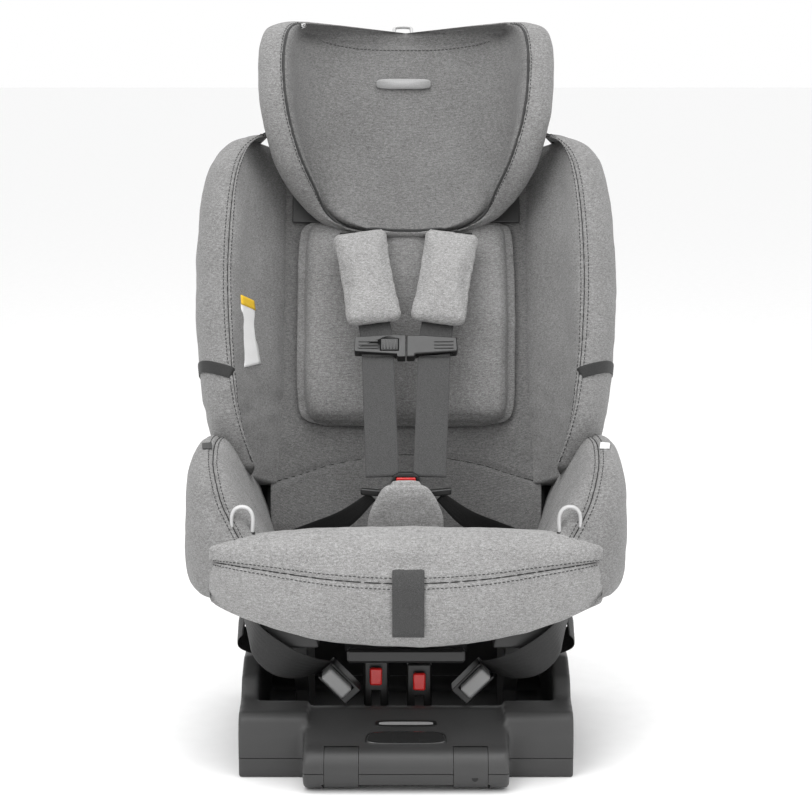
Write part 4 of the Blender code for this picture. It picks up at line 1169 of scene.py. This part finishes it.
def plate(name, low_half, high_half, start, end, thick, material):
    """A thin blank plate with rounded corners on the nose's slope; start and end run up the slope."""
    run = Vector((0, SLOPE_HIGH[0] - SLOPE_LOW[0], SLOPE_HIGH[1] - SLOPE_LOW[1])).normalized()
    out = run.cross(X_AXIS)
    out = out if out.z > 0 else -out
    origin = place(0, *SLOPE_LOW)
    centre, reach = (start + end) / 2, (end - start) / 2
    outline, count = [], 48
    for x, up in round_rectangle(count):
        half = low_half + (high_half - low_half) * (up + 1) / 2
        outline.append(origin + X_AXIS * (half * x) + run * (centre + reach * up))
    middle = sum(outline, Vector()) / count
    levels = ((1.0, -0.004), (1.0, thick * 0.6), (0.985, thick), (0.93, thick))
    points = [middle + (p - middle) * size + out * lift for size, lift in levels for p in outline]
    faces = [tuple(range(count)), tuple(range(3 * count, 4 * count))] + ring_faces(len(levels), count)
    finish_piece(from_faces(name, points, faces, material), "base")


def make_base():
    make_base_mouldings()
    for sign, word in SIDES:
        refined("recline_rail_" + word, 0.0010, BASE_PLASTIC, 2)
        refined("latch_adjuster_" + word, 0.0014, BLACK_PLASTIC)
        refined("latch_button_" + word, 0.0020, GREY_PLASTIC)
        refined("latch_connector_" + word, 0.0016, BLACK_PLASTIC)
        refined("connector_release_" + word, 0.0014, RED_PLASTIC)
    refined("flip_foot", 0.0016, BASE_PLASTIC)
    refined("foot_tread", 0.0010, RUBBER)
    refined("foot_axle", 0.0006, STEEL)
    refined("recline_handle", 0.0030, BLACK_PLASTIC, 4)
    refined("seat_shell", 0.0024, SHELL_PLASTIC, 3)
    refined("headrest_shell", 0.0014, SHELL_PLASTIC)
    refined("rod_guide", 0.0015, BLACK_PLASTIC)
    refined("harness_yoke", 0.0008, STEEL)
    for sign, word in SIDES:
        refined("headrest_rod_" + word, 0.0006, STEEL)
    # A plain nameplate and a storage label, both blank.
    plate("nameplate", 0.0445, 0.0410, 0.0020, 0.0235, 0.0016, PLATE)
    plate("nameplate_rim", 0.0460, 0.0425, 0.0008, 0.0247, 0.0009, BLACK_PLASTIC)
    plate("storage_label", 0.0340, 0.0340, 0.0330, 0.0450, 0.0008, BLACK_PLASTIC)
    plate("storage_label_stripe", 0.0300, 0.0300, 0.0365, 0.0415, 0.0012, PATCH)
    # A dark disc on the foot's knuckle: painted shadow inside its hole.
    dot = prism_mesh("knuckle_hole_shadow", circle(0.0035, 20), 0.0, 0.001, PAINTED_SHADOW)
    dot.data.transform(Matrix.Translation((0, -PIVOT[0] - SHIFT, -PIVOT[1])))
    dot.data.transform(Matrix.Rotation(math.radians(90), 4, "Z"))
    front = place(0.0745, PIVOT[0] - 0.0215, PIVOT[1] - 0.0060)
    dot.data.transform(Matrix.Translation(front))
    finish_piece(dot, "foot")
    # The shell's lower front corners, under the lip.
    for sign, word in SIDES:
        ends = sorted((sign * 0.0985, sign * 0.1620))
        axes = (X_AXIS, Vector((0, 1, 0)), Vector((sign * 0.22, 0, 1)).normalized())
        name = "shell_corner_" + word
        origin = place(sum(ends) / 2, -0.1600, 0.1650)
        low, high = (-0.0300, -0.0280, -0.0230), (0.0300, 0.0280, 0.0280)
        rounded_block(name, origin, axes, low, high, 0.0040, SHELL_PLASTIC, "shell", (), 4)


def make_anchor_webbing():
    for sign, word in SIDES:
        outward = Vector((sign * 0.70, 0, 0.714))
        start = place(sign * 0.0760, -0.150, 0.0965) + outward * 0.0205
        stops = [start, place(sign * 0.1120, -0.1760, 0.1170), place(sign * 0.1390, -0.1930, 0.1310)]
        stops += [place(sign * 0.1640, -0.1880, 0.1530), place(sign * 0.1790, -0.1560, 0.1760)]
        across = [(sign * -0.65, -0.35, 0.60), (sign * -0.55, -0.30, 0.70), (sign * -0.4, -0.25, 0.8)]
        across += [(sign * -0.2, -0.30, 0.9), (0, -0.35, 0.94)]
        wide = [0.026, 0.036, 0.040, 0.038, 0.034]
        made = webbing("anchor_webbing_" + word, stops, across, wide, 0.0016, WEBBING_BLACK, 8)
        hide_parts("latch_webbing_" + word)
        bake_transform(made)
        tail = [place(sign * 0.1810, -0.1360, 0.1600), place(sign * 0.1880, -0.1240, 0.1500)]
        tail += [place(sign * 0.1890, -0.1120, 0.1380), place(sign * 0.1780, -0.1040, 0.1290)]
        tail += [place(sign * 0.1560, -0.1000, 0.1215)]
        made = webbing("anchor_tail_" + word, tail, [(0, 0.8, 0.6)] * 5, [0.034] * 5, 0.0016, WEBBING_BLACK, 8)
        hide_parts("latch_tail_" + word)
        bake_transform(made)


def make_slots_and_tag(skins):
    """Dark blocks as painted shadow in the strap slots above the shoulder pads, and the striped tag on the
    headrest's left wing.
    """
    for sign, word in SIDES:
        low, high = (sign * 0.057 - 0.024, 0.3740, 0.0270), (sign * 0.057 + 0.024, 0.3850, 0.0300)
        name = "strap_slot_shadow_" + word
        rounded_block(name, back(0, 0, 0), BACK_AXES, low, high, 0.0015, PAINTED_SHADOW, "headrest")
    skin = skins["headrest"]
    for k in range(4):
        finish = INK if k % 2 == 0 else PAPER
        start = 16.9 + 0.12 * k
        strip(f"headrest_tag_{k}", skin, [(8.95, start), (8.55, start)], 0.0036, 0.0012, finish, "headrest")


def make_pull_loop():
    stops = [back(x - 0.004, s, -0.0050) for x, s in ((-0.0125, 0.6350), (-0.0110, 0.6600), (-0.0085, 0.6660))]
    stops += [back(x - 0.004, s, -0.0050) for x, s in ((0.0085, 0.6660), (0.0110, 0.6600), (0.0125, 0.6350))]
    path = smooth_line(stops, 0.0014)
    made = cord_mesh("headrest_pull_loop", path, 0.0022, PALE_PLASTIC, 12, 1.3, [FORWARD] * len(path))
    finish_piece(made, "headrest_pull", ("headrest_handle",))


# Stage


def make_stage():
    floor_finish = tinted("floor_white", grey(0.93), grey(0.95), 0.85, scale=40)
    size = 40.0
    points = [(-size, -size, 0), (size, -size, 0), (size, size, 0), (-size, size, 0)]
    floor = from_faces("floor", points, [(0, 1, 2, 3)], floor_finish, False)
    world = bpy.data.worlds.new("studio")
    bpy.context.scene.world = world
    world.use_nodes = True
    world.node_tree.nodes["Background"].inputs["Color"].default_value = (1, 1, 1, 1)
    world.node_tree.nodes["Background"].inputs["Strength"].default_value = 1.0
    lights = [
        ("key", (-1.2, -2.0, 2.4), 1.4, 24.0),
        ("fill", (1.8, -1.6, 1.6), 1.6, 8.0),
        ("top", (0.0, -0.3, 2.6), 1.6, 34.0),
    ]
    target = Vector((0, 0, 0.38))
    for name, where, wide, power in lights:
        data = bpy.data.lights.new(name, "AREA")
        data.shape = "SQUARE"
        data.size = wide
        data.energy = power
        lamp = bpy.data.objects.new(name, data)
        bpy.context.scene.collection.objects.link(lamp)
        lamp.location = where
        lamp.rotation_euler = (target - lamp.location).to_track_quat("-Z", "Y").to_euler()
    data = bpy.data.cameras.new("camera")
    data.lens = 100
    data.sensor_width = 36
    camera = bpy.data.objects.new("camera", data)
    bpy.context.scene.collection.objects.link(camera)
    camera.location = (0, -2.6198, 0.80)
    camera.rotation_euler = (math.radians(80.89), 0, 0)
    bpy.context.scene.camera = camera
    bpy.context.scene.view_settings.view_transform = "Standard"


skins = make_covers()
make_seams(skins)
make_trim(skins)
make_pads()
make_harness()
make_clip_details()
make_holders()
make_base()
make_anchor_webbing()
make_slots_and_tag(skins)
make_pull_loop()
make_stage()
